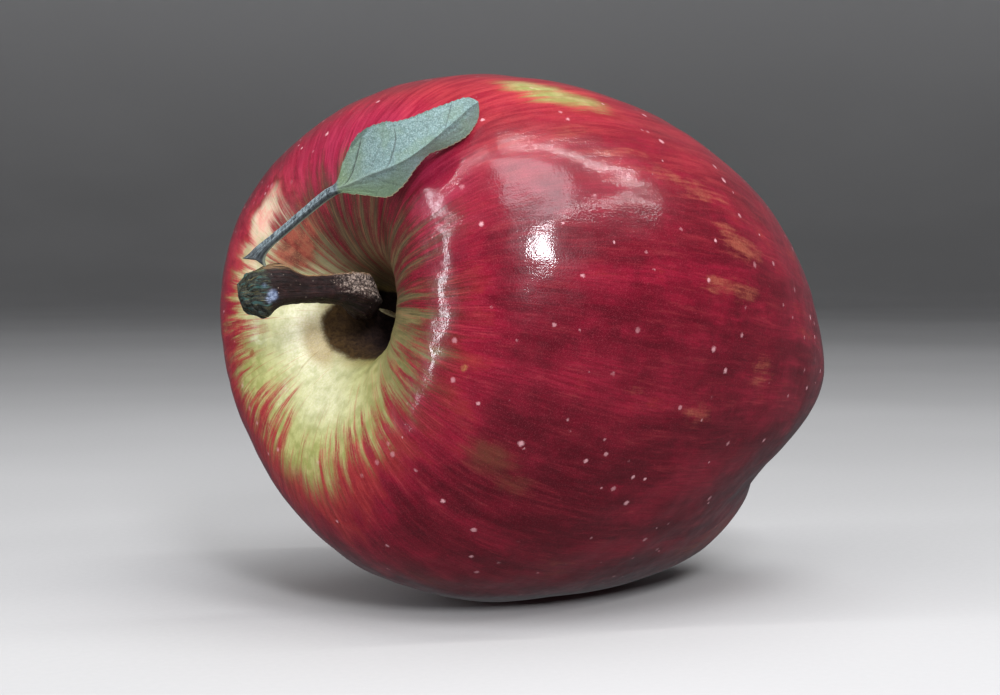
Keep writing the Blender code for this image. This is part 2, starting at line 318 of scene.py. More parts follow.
# soft olive and tan clouds under the red: (part of the way, angle, length, width, strength)
CLOUDS = ((0.262, -125.0, 0.046, 5.5, 0.62), (0.300, -129.0, 0.034, 5.0, 0.50), (0.222, -121.0, 0.026, 4.5, 0.35),
          (0.498, -70.0, 0.030, 2.6, 0.95), (0.478, -67.5, 0.020, 1.8, 0.75), (0.468, -79.0, 0.034, 1.8, 0.80),
          (0.500, -79.5, 0.022, 2.4, 0.70), (0.425, -57.5, 0.050, 2.2, 0.60), (0.460, -61.0, 0.036, 2.0, 0.50),
          (0.370, -53.0, 0.050, 2.5, 0.42), (0.330, -47.0, 0.040, 3.0, 0.42),
          (0.470, -105.0, 0.020, 3.0, 0.50), (0.383, -102.0, 0.016, 2.2, 0.34), (0.545, -94.0, 0.024, 4.0, 0.45),
          (0.320, -105.0, 0.014, 2.0, 0.30), (0.330, -170.0, 0.05, 6.0, 0.40), (0.420, 10.0, 0.06, 7.0, 0.5),
          (0.600, -20.0, 0.07, 6.0, 0.5), (0.640, -150.0, 0.07, 8.0, 0.5), (0.360, 70.0, 0.05, 9.0, 0.6),
          (0.610, 60.0, 0.08, 10.0, 0.6), (0.430, -150.0, 0.04, 6.0, 0.35))
# small brown marks: (part of the way, angle, radius in mm, strength)
MARKS = ((0.127, 114.0, 0.55, 0.9), (0.198, -106.0, 0.62, 0.55), (0.206, -108.0, 0.35, 0.5), (0.104, 104.0, 1.5, 0.42),
         (0.110, 99.0, 1.2, 0.36), (0.152, 128.0, 0.40, 0.5), (0.092, 132.0, 0.5, 0.4), (0.55, 20.0, 0.8, 0.5),
         (0.70, 150.0, 0.7, 0.5), (0.44, -175.0, 0.6, 0.4))


def skin_points():
    t = np.arange(1, SKIN_ROWS) / SKIN_ROWS
    s = math.pi * (t - 0.105 * np.sin(2 * math.pi * t))
    ph = 2 * math.pi * np.arange(SKIN_COLUMNS) / SKIN_COLUMNS
    s, ph = np.meshgrid(s, ph, indexing="ij")
    s = np.concatenate([s.ravel(), (0.0, math.pi)])
    ph = np.concatenate([ph.ravel(), (0.0, 0.0)])
    p = hull(s, ph)
    eps = 1e-3
    ds = hull(np.clip(s + eps, 0, math.pi), ph) - hull(np.clip(s - eps, 0, math.pi), ph)
    dp = hull(s, ph + eps) - hull(s, ph - eps)
    n = unit(np.cross(ds, dp))
    n[-2], n[-1] = (0, 0, 1.0), (0, 0, -1.0)
    n *= np.sign((n * p).sum(-1).mean())
    return s, ph, p, n


def make_skin(mat):
    s, ph, p, n = skin_points()
    part = s / math.pi
    deg = (np.degrees(ph) + 180.0) % 360.0 - 180.0
    # relief: shallow dimples all over, faint ribs in the stem cavity and the blossom basin,
    # a fold beside the pit, a pressed dent
    calm = step(0.03, 0.10, part) * (1 - step(0.90, 0.97, part))
    q = p.copy()
    q[:, 2] *= 0.75
    lift = 0.17 * waves(q, 0.014, 3, 2) * calm
    lift += 0.045 * waves(q, 0.0055, 11, 2) * calm
    crest = step(0.10, 0.14, part) * (1 - step(0.18, 0.24, part))
    lift += 0.080 * crest * waves(q, 0.0042, 17, 2)
    ribs = np.sin(11 * ph + 2.2 * np.sin(2 * ph) + 30 * part) + 0.6 * np.sin(19 * ph + 1.3 - 22 * part)
    lift += 0.050 * ribs * step(0.035, 0.06, part) * (1 - step(0.13, 0.20, part))
    lift += 0.10 * np.sin(10 * ph + 1.2 * np.sin(3 * ph)) * step(0.80, 0.88, part) * (1 - step(0.93, 0.985, part))
    fold = turn(deg, 135.0 + 300.0 * (part - 0.065))
    lift -= 0.14 * np.exp(-(fold / 2.2) ** 2) * step(0.052, 0.064, part) * (1 - step(0.085, 0.105, part))
    lift -= 0.14 * np.exp(-((part - 0.305) / 0.018) ** 2 - (turn(deg, -98.0) / 3.4) ** 2)
    lift -= 0.10 * np.exp(-((part - 0.34) / 0.02) ** 2 - (turn(deg, -58.0) / 6.0) ** 2)
    # broken edge of the pit, where the skin turns to russet
    lift += 0.07 * waves(p, 0.0022, 29, 2) * step(0.02, 0.035, part) * (1 - step(0.055, 0.075, part))
    world = place(p + n * (lift * MM)[:, None])
    world[:, 2] = np.maximum(world[:, 2], 0.0)

    # masks for the colours
    start = round_table(deg, RED_START)
    blend = round_table(deg, RED_BLEND)
    cover = 0.5 + (part - start) / blend * 0.5
    cover = np.minimum(cover, 1.35)
    for at, ang, length, width, strength in PATCHES:
        spot = np.exp(-((part - at) / length) ** 2 - (turn(deg, ang) / width) ** 2)
        cover -= strength * spot
    cover -= 0.10 * step(0.34, 0.55, part) * (1 - step(0.75, 0.9, part)) * np.exp(-(turn(deg, -60) / 50.0) ** 2)
    cover -= 0.75 * step(0.905, 0.965, part)                    # pale floor of the blossom basin
    # 0 lime green, 1 olive and tan
    olive = round_table(deg, OLIVE)
    olive = olive + (0.30 - olive) * step(0.17, 0.24, part)
    for at, ang, length, width, k in ((0.35, -33, 0.10, 22, -0.35), (0.26, -126, 0.08, 12, 0.55)):
        olive = olive + k * np.exp(-((part - at) / length) ** 2 - (turn(deg, ang) / width) ** 2)
    olive = np.clip(olive + 0.25 * step(0.85, 0.95, part), 0, 1)
    # whitish cream: painted light near the lit side of the pit, real cream in the patch by the leaf stalk
    cream_and_painted_light = np.exp(-((part - 0.062) / 0.030) ** 2 - (turn(deg, 118.0) / 50.0) ** 2)
    cream_and_painted_light = cream_and_painted_light + 1.1 * np.exp(-((part - 0.143) / 0.030) ** 2 - (turn(deg, 54.0) / 15.0) ** 2)
    cream_and_painted_light = cream_and_painted_light + 0.6 * np.exp(-((part - 0.115) / 0.022) ** 2 - (turn(deg, 84.0) / 13.0) ** 2)
    cream_and_painted_light = cream_and_painted_light + 0.45 * np.exp(-((part - 0.095) / 0.025) ** 2 - (turn(deg, 178.0) / 26.0) ** 2)
    # rusty skin between the leaf stalk and the pit, and a pinkish flush round the cream patch
    rust = np.exp(-((part - 0.086) / 0.020) ** 2 - (turn(deg, 56.0) / 15.0) ** 2)
    rust = rust + 0.35 * np.exp(-((part - 0.10) / 0.03) ** 2 - (turn(deg, 36.0) / 16.0) ** 2)
    flush = np.exp(-((part - 0.150) / 0.040) ** 2 - (turn(deg, 55.0) / 28.0) ** 2) * step(0.105, 0.135, part)
    # small marks and the crease that runs out of the pit
    mark = np.zeros_like(part)
    for at, ang, size, strength in MARKS:
        spot = hull(np.array(math.pi * at), np.array(math.radians(ang)))
        d = np.linalg.norm(p - spot, axis=1) / (size * MM)
        mark = np.maximum(mark, strength * np.exp(-d * d))
    bend = turn(deg, 135.0 + 300.0 * (part - 0.065))
    mark = np.maximum(mark, 0.42 * np.exp(-(bend / 1.2) ** 2) * step(0.055, 0.066, part) * (1 - step(0.082, 0.098, part)))
    # russet in the pit and round the calyx
    rim = 0.0475 + 0.0020 * waves(p, 0.006, 41, 2) + 0.0075 * np.exp(-(turn(deg, 118.0) / 42.0) ** 2)
    rim = rim - 0.026 * np.exp(-(turn(deg, 10.0) / 52.0) ** 2)
    russet = 1 - step(-0.009, 0.009, part - rim)
    russet = np.maximum(russet, 0.7 * step(0.955, 0.985, part))
    # yellow-brown round the pit: staining, and painted light on the pit's lit side and that half of the rim
    stain_and_painted_light = 1.1 * np.exp(-((part - 0.060) / 0.012) ** 2 - (turn(deg, 128.0) / 30.0) ** 2)
    stain_and_painted_light = np.maximum(stain_and_painted_light, 0.55 * np.exp(-((part - rim) / 0.010) ** 2) * step(0.0, 0.4, np.sin(ph - math.radians(40.0)) + 0.5))
    small = np.clip(step(0.55, 0.80, part) + 0.6 * np.exp(-((part - 0.21) / 0.08) ** 2 - (turn(deg, 42.0) / 36.0) ** 2)
                    + 0.7 * np.exp(-(turn(deg, 85.0) / 40.0) ** 2) * (part < 0.4), 0, 1)

    vary = 0.34 + 0.76 * (1 - step(0.125, 0.205, part))
    vary = vary + 0.22 * np.exp(-((part - 0.55) / 0.18) ** 2 - (turn(deg, -60.0) / 34.0) ** 2)
    vary = vary + 0.12 * np.exp(-((part - 0.36) / 0.07) ** 2 - (turn(deg, -33.0) / 16.0) ** 2)
    vary = vary - 0.50 * np.exp(-((part - 0.150) / 0.040) ** 2 - (turn(deg, 53.0) / 18.0) ** 2)
    vary = vary + 0.35 * np.exp(-((part - 0.50) / 0.25) ** 2 - (turn(deg, 105.0) / 60.0) ** 2)
    # thinner red on the upper side, partly painted light from above
    top_red_and_painted_light = np.exp(-(turn(deg, -10.0) / 48.0) ** 2) * step(0.09, 0.16, part) * (1 - step(0.55, 0.85, part))
    wob = ph + 0.014 * waves(p, 0.030, 57, 2)
    mer = np.stack([np.cos(wob), np.sin(wob), part], -1)
    cloud = np.zeros_like(part)
    for at, ang, length, width, strength in CLOUDS:
        spot = np.exp(-((part - at) / length) ** 2 - (turn(deg, ang) / width) ** 2)
        cloud = np.maximum(cloud, strength * spot)
    attributes = {"mer": mer, "cover": cover, "cloud": cloud, "olive": olive, "cream_and_painted_light": np.clip(cream_and_painted_light, 0, 1),
                  "russet": russet, "small": small, "vary": vary, "rust": np.clip(rust, 0, 1), "flush": flush,
                  "mark": mark, "stain_and_painted_light": stain_and_painted_light, "top_red_and_painted_light": top_red_and_painted_light}
    k = len(part) - 2
    faces = tube_faces(SKIN_ROWS - 1, SKIN_COLUMNS, k, k + 1)
    return mesh_object("apple_skin", world, faces, mat, attributes)


def skin_material():
    m = Shade("apple_skin")
    mer, mm = m.attr("mer", True), m.coords()
    cover, olive, cream_and_painted_light = m.attr("cover"), m.attr("olive"), m.attr("cream_and_painted_light")
    russet, small, vary = m.attr("russet"), m.attr("small"), m.attr("vary")
    along = m.node("ShaderNodeSeparateXYZ")
    m.put(along.inputs[0], mer)
    part = along.outputs[2]

    # streaks that follow the meridians, from broad flames to hair-fine dashes, and blotches
    flame = m.noise(m.vec("MULTIPLY", mer, (6.0, 6.0, 7.0)), 1.0, 2.0, 0.5, 0.4)
    broad = m.noise(m.vec("MULTIPLY", mer, (12.0, 12.0, 8.0)), 1.0, 3.0, 0.6, 0.35)
    mid = m.noise(m.vec("MULTIPLY", mer, (40.0, 40.0, 16.0)), 1.0, 4.0, 0.65, 0.3)
    fine = m.noise(m.vec("MULTIPLY", mer, (120.0, 120.0, 34.0)), 1.0, 4.0, 0.65, 0.2)
    mottle = m.noise(mm, 0.55, 4.0, 0.6)
    blotch = m.noise(mm, 0.14, 4.0, 0.62, 0.2)
    speck = m.noise(mm, 3.2, 3.0, 0.65)
    grit = m.noise(mm, 6.5, 3.0, 0.7)
    streak = m.math("ADD", m.math("MULTIPLY", m.math("SUBTRACT", broad, 0.5), 2.2),
                    m.math("MULTIPLY", m.math("SUBTRACT", mid, 0.5), 1.2))
    streak = m.math("ADD", streak, m.math("MULTIPLY", m.math("SUBTRACT", fine, 0.5), 0.8))
    streak = m.math("ADD", streak, m.math("MULTIPLY", m.math("SUBTRACT", flame, 0.5), 1.1))
    streak = m.math("ADD", streak, m.math("MULTIPLY", m.math("SUBTRACT", mottle, 0.5), 0.6))
    streak = m.math("ADD", streak, m.math("MULTIPLY", m.math("SUBTRACT", speck, 0.5), 0.35))
    amount = m.math("MULTIPLY", m.ramp(part, 0.02, 0.06), vary)
    amount = m.math("MULTIPLY", amount, m.ramp(cover, -0.45, 0.30, 0.30, 1.0))
    field = m.math("ADD", cover, m.math("MULTIPLY", streak, amount))
    red = m.ramp(field, 0.12, 0.86)
    deep = m.ramp(m.math("ADD", field, m.math("MULTIPLY", m.math("SUBTRACT", blotch, 0.5), 0.9)), 0.65, 1.60)

    # ground colour under the red
    lime = m.mix(m.ramp(mottle, 0.35, 0.65), rgb(138, 140, 78), rgb(166, 166, 106))
    tan = m.mix(m.ramp(mid, 0.36, 0.64), rgb(60, 46, 34), rgb(104, 84, 58))
    tan = m.mix(m.ramp(fine, 0.52, 0.66, 0.0, 0.50), tan, rgb(128, 112, 76))
    ground = m.mix(olive, lime, tan)
    # near-white: painted light by the pit's lit side, real pale skin in the patch by the leaf stalk
    pale = m.mix(m.ramp(speck, 0.3, 0.7), rgb(206, 204, 168), rgb(226, 220, 198))
    ground = m.mix(m.math("MULTIPLY", cream_and_painted_light, m.ramp(mottle, 0.25, 0.6, 0.60, 1.0)), ground, pale)
    ground = m.mix(m.ramp(fine, 0.50, 0.75, 0.0, 0.30), ground, rgb(128, 132, 70))
    rosy = m.math("MULTIPLY", m.attr("flush"), m.ramp(m.math("ADD", mottle, m.math("MULTIPLY", m.math("SUBTRACT", speck, 0.5), 0.5)),
                                                     0.34, 0.66, 0.15, 0.75))
    ground = m.mix(rosy, ground, rgb(204, 112, 104))
    # the red itself: scarlet where thin, crimson, deep wine where thick
    thin = m.mix(m.ramp(mid, 0.38, 0.62), rgb(122, 26, 32), rgb(150, 46, 46))
    thin = m.mix(m.math("MULTIPLY", olive, m.ramp(part, 0.17, 0.24, 0.90, 0.0)), thin,
                 m.mix(m.ramp(fine, 0.38, 0.62), rgb(58, 12, 17), rgb(88, 28, 27)))
    crimson = m.mix(m.ramp(fine, 0.35, 0.65), rgb(102, 8, 29), rgb(126, 17, 40))
    wine = m.mix(m.ramp(mid, 0.40, 0.64), rgb(76, 4, 19), rgb(97, 8, 27))
    reds = m.mix(m.ramp(deep, 0.0, 0.55), thin, crimson)
    reds = m.mix(m.ramp(m.math("ADD", deep, m.math("MULTIPLY", m.math("SUBTRACT", flame, 0.5), 0.7)), 0.45, 1.0),
                 reds, wine)
    reds = m.mix(m.math("MULTIPLY", m.attr("flush"), m.ramp(mottle, 0.35, 0.62, 0.10, 0.60)), reds, rgb(190, 62, 78))
    # the upper side is a thinner red, partly painted light from above
    light_red = m.mix(m.ramp(part, 0.17, 0.26), m.mix(m.ramp(mid, 0.38, 0.62), rgb(150, 28, 62), rgb(184, 52, 88)),
                      m.mix(m.ramp(mid, 0.38, 0.62), rgb(148, 30, 44), rgb(182, 58, 62)))
    lit = m.ramp(m.math("ADD", m.attr("top_red_and_painted_light"), m.math("MULTIPLY", m.math("SUBTRACT", broad, 0.5), 0.8)), 0.10, 0.95, 0.0, 0.50)
    reds = m.mix(m.math("MULTIPLY", lit, m.ramp(m.attr("top_red_and_painted_light"), 0.03, 0.2)), reds, light_red)
    colour = m.mix(red, ground, reds)
    # fine pale hatching and grit seen through the red
    hatch = m.math("MULTIPLY", m.ramp(m.math("ADD", m.math("MULTIPLY", mid, 0.6), m.math("MULTIPLY", fine, 0.5)), 0.58, 0.76),
                   m.ramp(deep, 0.2, 1.0, 0.40, 0.14))
    colour = m.mix(hatch, colour, rgb(172, 72, 70))
    colour = m.mix(m.math("MULTIPLY", m.ramp(grit, 0.50, 0.72, 0.0, 0.22), red), colour, rgb(184, 80, 92))
    colour = m.mix(m.math("MULTIPLY", m.ramp(grit, 0.46, 0.28, 0.0, 0.30), red), colour, rgb(72, 4, 16))

    # clouds with streaky, broken edges
    torn = m.math("ADD", m.math("MULTIPLY", m.math("SUBTRACT", mid, 0.5), 1.6), m.math("MULTIPLY", m.math("SUBTRACT", fine, 0.5), 0.8))
    torn = m.math("ADD", torn, m.math("MULTIPLY", m.math("SUBTRACT", mottle, 0.5), 0.9))
    ragged = m.math("MULTIPLY", torn, m.ramp(part, 0.30, 0.37, 0.35, 1.0))
    haze = m.math("MULTIPLY", m.ramp(m.math("ADD", m.attr("cloud"), ragged), 0.20, 0.85), m.ramp(m.attr("cloud"), 0.04, 0.35, 0.0, 0.50))
    peach = m.mix(m.ramp(speck, 0.35, 0.65), rgb(140, 70, 52), rgb(168, 98, 74))
    colour = m.mix(haze, colour, m.mix(m.ramp(part, 0.30, 0.36), rgb(104, 72, 44), peach))
    # rusty brown skin by the leaf stalk
    scurf = m.mix(m.ramp(mottle, 0.36, 0.64), rgb(98, 36, 29), rgb(142, 68, 52))
    scurf = m.mix(m.ramp(grit, 0.52, 0.70, 0.0, 0.5), scurf, rgb(178, 130, 88))
    rusty = m.ramp(m.math("ADD", m.attr("rust"), m.math("MULTIPLY", torn, 0.55)), 0.15, 0.75, 0.0, 0.85)
    colour = m.mix(m.math("MULTIPLY", rusty, m.ramp(m.attr("rust"), 0.03, 0.25)), colour, scurf)
    # small marks
    stain = m.ramp(m.math("ADD", m.attr("mark"), m.math("MULTIPLY", m.math("SUBTRACT", speck, 0.5), 0.5)), 0.18, 0.60, 0.0, 0.85)
    stain = m.math("MULTIPLY", stain, m.ramp(m.attr("mark"), 0.02, 0.15))
    colour = m.mix(stain, colour, m.mix(m.ramp(part, 0.17, 0.19), m.mix(m.ramp(part, 0.095, 0.115), rgb(124, 112, 62), rgb(134, 84, 46)), rgb(150, 104, 62)))

    # pale dots: large and wide apart on the body, small and close near the blossom end
    d1 = m.cells(mm, 0.32)
    c1 = m.cells(mm, 0.32, "Color")
    sep = m.node("ShaderNodeSeparateColor")
    m.put(sep.inputs[0], c1)
    r1 = m.math("ADD", 0.070, m.math("MULTIPLY", sep.outputs[0], 0.115))
    dot1 = m.ramp(m.math("DIVIDE", m.math("ADD", d1, m.math("MULTIPLY", m.math("SUBTRACT", speck, 0.5), 0.16)), r1),
                  0.35, 1.0, 1.0, 0.0)
    dot1 = m.math("MULTIPLY", dot1, m.ramp(sep.outputs[1], 0.0, 1.0, 0.35, 0.95))
    d2 = m.cells(mm, 0.52)
    c2 = m.cells(mm, 0.52, "Color")
    sep2 = m.node("ShaderNodeSeparateColor")
    m.put(sep2.inputs[0], c2)
    r2 = m.math("ADD", 0.07, m.math("MULTIPLY", sep2.outputs[1], 0.10))
    dot2 = m.ramp(m.math("DIVIDE", d2, r2), 0.5, 1.0, 1.0, 0.0)
    dot2 = m.math("MULTIPLY", dot2, m.ramp(small, 0.15, 0.75))
    away = m.ramp(part, 0.13, 0.19)
    dots = m.math("MULTIPLY", m.math("MAXIMUM", m.math("MULTIPLY", dot1, 0.85), m.math("MULTIPLY", dot2, 0.75)), away)
    colour = m.mix(dots, colour, rgb(212, 158, 164))

    # yellow-brown staining round the pit, partly painted light on its lit side
    stain_and_painted_light = m.ramp(m.math("ADD", m.attr("stain_and_painted_light"), m.math("MULTIPLY", m.math("SUBTRACT", mottle, 0.5), 0.5)), 0.15, 0.85, 0.0, 0.60)
    colour = m.mix(stain_and_painted_light, colour, m.mix(m.ramp(grit, 0.4, 0.6), rgb(112, 80, 24), rgb(150, 120, 50)))
    # russet: brown, cracked and netted, and painted darker toward the pit's bottom as shade
    flakes = m.noise(mm, 1.7, 4.0, 0.65, 0.4)
    russet_and_painted_pit_shade = m.mix(m.ramp(flakes, 0.25, 0.75), rgb(22, 14, 16), rgb(48, 32, 30))
    rim_brown = m.mix(m.ramp(flakes, 0.25, 0.75), rgb(40, 27, 13), rgb(74, 54, 28))
    brown = m.mix(m.ramp(m.math("ADD", part, m.math("MULTIPLY", m.math("SUBTRACT", blotch, 0.5), 0.03)), 0.024, 0.050), russet_and_painted_pit_shade, rim_brown)
    brown = m.mix(m.ramp(part, 0.5, 0.6), brown, rgb(62, 42, 24))
    edge = m.ramp(m.math("ADD", russet, m.math("MULTIPLY", m.math("SUBTRACT", flakes, 0.5), 0.34)), 0.30, 0.70)
    colour = m.mix(edge, colour, brown)
    m.set("Base Color", colour)

    rough = m.math("ADD", m.ramp(mottle, 0.3, 0.7, 0.28, 0.38), m.math("MULTIPLY", edge, 0.40))
    rough = m.math("ADD", rough, m.math("MULTIPLY", dots, 0.18))
    rough = m.math("ADD", rough, m.math("MULTIPLY", m.ramp(part, 0.08, 0.15, 0.22, 0.0), 1.0), clamp=True)
    m.set("Roughness", rough)
    m.set("IOR", 1.45)
    m.set("Specular IOR Level", 0.20)
    wax = m.math("MULTIPLY", m.ramp(part, 0.09, 0.15, 0.05, 0.56), m.math("SUBTRACT", 1.0, m.math("MULTIPLY", edge, 0.9)))
    broken = m.ramp(m.noise(mm, 0.9, 5.0, 0.72), 0.40, 0.58, 0.25, 1.0)      # scuffed wax round the shoulder
    broken = m.math("MAXIMUM", broken, m.ramp(part, 0.215, 0.25))
    m.set("Coat Weight", m.math("MULTIPLY", wax, broken))
    m.set("Coat Roughness", m.ramp(blotch, 0.35, 0.65, 0.04, 0.11))
    m.set("Coat IOR", 1.48)

    grain = m.cells(mm, 4.2)
    n = m.bump(mottle, 0.35, 0.00012)
    n = m.bump(m.math("ADD", m.math("MULTIPLY", fine, 0.5), m.math("MULTIPLY", mid, 0.5)), 0.30, 0.00006, n)
    n = m.bump(grain, 0.6, 0.000013, n)
    n = m.bump(dots, 0.5, 0.00005, n)
    n = m.bump(m.math("MULTIPLY", flakes, edge), 0.7, 0.0002, n)
    m.set("Normal", n)
    m.t.links.new(n, m.bsdf.inputs["Coat Normal"])
    return m.mat


# ------------------------------------------------------------------ stem
STEM_LINE = (
    ((1.10, 6.13, 28.9), 2.15),
    ((0.98, 4.5, 30.2), 2.10),
    ((0.95, 2.7, 31.6), 2.20),
    ((1.25, 1.0, 33.1), 2.35),
    ((1.80, -0.10, 34.9), 2.40),
    ((2.05, -0.3, 37.6), 2.10),
    ((1.7, -0.1, 41.0), 1.85),
    ((1.2, 0.2, 44.3), 1.85),
    ((0.85, 0.5, 47.1), 2.15),
    ((0.3, 1.0, 49.8), 2.45),
    ((-0.4, 1.8, 51.2), 2.15),
    ((-0.8, 2.4, 52.1), 1.55),
)
STEM_KNOBS = ((47.4, 8.0, 1.15, 2.3), (50.3, 185.0, 1.15, 1.7), (34.8, -5.0, 0.50, 2.2), (35.2, 190.0, 0.34, 2.6))
STEM_ROWS, STEM_SIDES = 250, 110


def make_stem(mat):
    t = np.linspace(0, 1, STEM_ROWS)
    c = spline([p for p, _ in STEM_LINE], t)
    r = spline([q for _, q in STEM_LINE], t)[:, 0]
    ahead = unit(np.gradient(c, axis=0))
    first = unit(np.array((1.0, 0.0, 0.0)) - ahead * ahead[:, :1])
    second = np.cross(ahead, first)
    a = 2 * math.pi * np.arange(STEM_SIDES) / STEM_SIDES
    ca, sa = np.cos(a), np.sin(a)
    T = t[:, None]
    way = first[:, None, :] * ca[None, :, None] + second[:, None, :] * sa[None, :, None]
    rr = r[:, None] * (1 + 0.05 * np.sin(3 * a + 4.0 * T) + 0.04 * np.sin(5 * a + 9.0 * T))
    for at, ang, high, spread in STEM_KNOBS:
        rr = rr + (high * np.exp(-((c[:, 2:3] - at) / spread) ** 2)
                   * np.exp(2.2 * (np.cos(a - math.radians(ang)) - 1)))
    at_end = step(0.74, 0.86, T) * np.ones_like(rr)
    # lengthwise bark ridges, cross cracks, rough flakes on the bend, lumps on the end
    base = c[:, None, :] + way * r[:, None, None]
    ring = np.stack([np.cos(a)[None, :] * 2.2 + 0 * T, np.sin(a)[None, :] * 2.2 + 0 * T, 5.0 * T + 0 * rr], -1)
    ridge = waves(ring, 0.9, 5, 3)
    rough = waves(base, 1.1, 8, 3)
    lumps = waves(base, 2.6, 13, 2)
    bend = np.exp(-((c[:, 2:3] - 35.6) / 4.4) ** 2) * (0.06 + 0.94 * step(0.05, 0.75, np.cos(a + 0.55)[None, :]))
    rr = rr + 0.10 * ridge * (1 - 0.5 * at_end) + 0.05 * rough
    rr = rr + bend * (0.16 * waves(base, 0.8, 21, 3) + 0.10 * np.abs(rough))
    facet = np.abs(waves(base * np.array((1.0, 1.0, 0.55)), 2.3, 34, 2))
    valley = 1 - step(0.0, 0.16, facet)
    rr = rr + at_end * (0.38 * lumps - 0.13 * valley + 0.12 * facet + 0.02)
    hollow = np.exp(-((c[:, None, :] + way * rr[:, :, None] - np.array((-1.89, 0.41, 50.8))) ** 2).sum(-1) / 1.15 ** 2)
    rr = rr - 0.45 * hollow
    # wrinkles along the swelling next to the end
    swell = np.exp(-((c[:, 2:3] - 47.4) / 2.2) ** 2) * step(0.2, 0.9, ca[None, :])
    rr = rr + swell * 0.09 * np.sin(26 * a[None, :] + 2.0 * waves(base, 2.5, 71, 2))
    # painted shade: near black in the knob's valleys, the hollow and the wrinkle troughs
    painted_crevice_shade = np.maximum(np.maximum(0.55 * valley * at_end, hollow), 0.6 * swell * (np.sin(26 * a[None, :] + 2.0 * waves(base, 2.5, 71, 2)) < -0.3))
    p = c[:, None, :] + way * rr[:, :, None]
    root, tip = c[0] - ahead[0] * 0.0, c[-1] + ahead[-1] * 0.25
    pts = np.concatenate([p.reshape(-1, 3), root[None], tip[None]])
    one = np.ones((STEM_ROWS, STEM_SIDES))
    end = np.concatenate([at_end.ravel(), (0.0, 1.0)])
    flake = np.concatenate([(bend * one).ravel(), (0.0, 0.0)])
    top = np.concatenate([(one * ca[None, :]).ravel(), (0.0, 0.0)])
    painted_crevice_shade = np.concatenate([(painted_crevice_shade * one).ravel(), (0.0, 0.5)])
    # painted sheen: bluish lavender patches on the knob's end
    painted_sheen = np.zeros_like(rr)
    for x, y, z, size, strength in ((-0.2, -1.35, 49.7, 0.85, 1.0), (-0.9, -1.2, 50.2, 0.7, 0.7), (0.9, -1.0, 50.9, 0.6, 0.5)):
        painted_sheen = np.maximum(painted_sheen, strength * np.exp(-((p - np.array((x, y, z))) ** 2).sum(-1) / size ** 2))
    painted_sheen = np.concatenate([painted_sheen.ravel(), (0.0, 0.0)])
    lie =np.concatenate([np.stack([one * ca[None, :], one * sa[None, :], one * T], -1).reshape(-1, 3),
                          ((0, 0, 0.0), (0, 0, 1.0))])
    faces = tube_faces(STEM_ROWS, STEM_SIDES, STEM_ROWS * STEM_SIDES, STEM_ROWS * STEM_SIDES + 1)
    return mesh_object("apple_stem", place(pts * MM), faces, mat,
                       {"lie": lie, "end": end, "flake": flake, "topside": top, "painted_crevice_shade": painted_crevice_shade, "painted_sheen": painted_sheen})


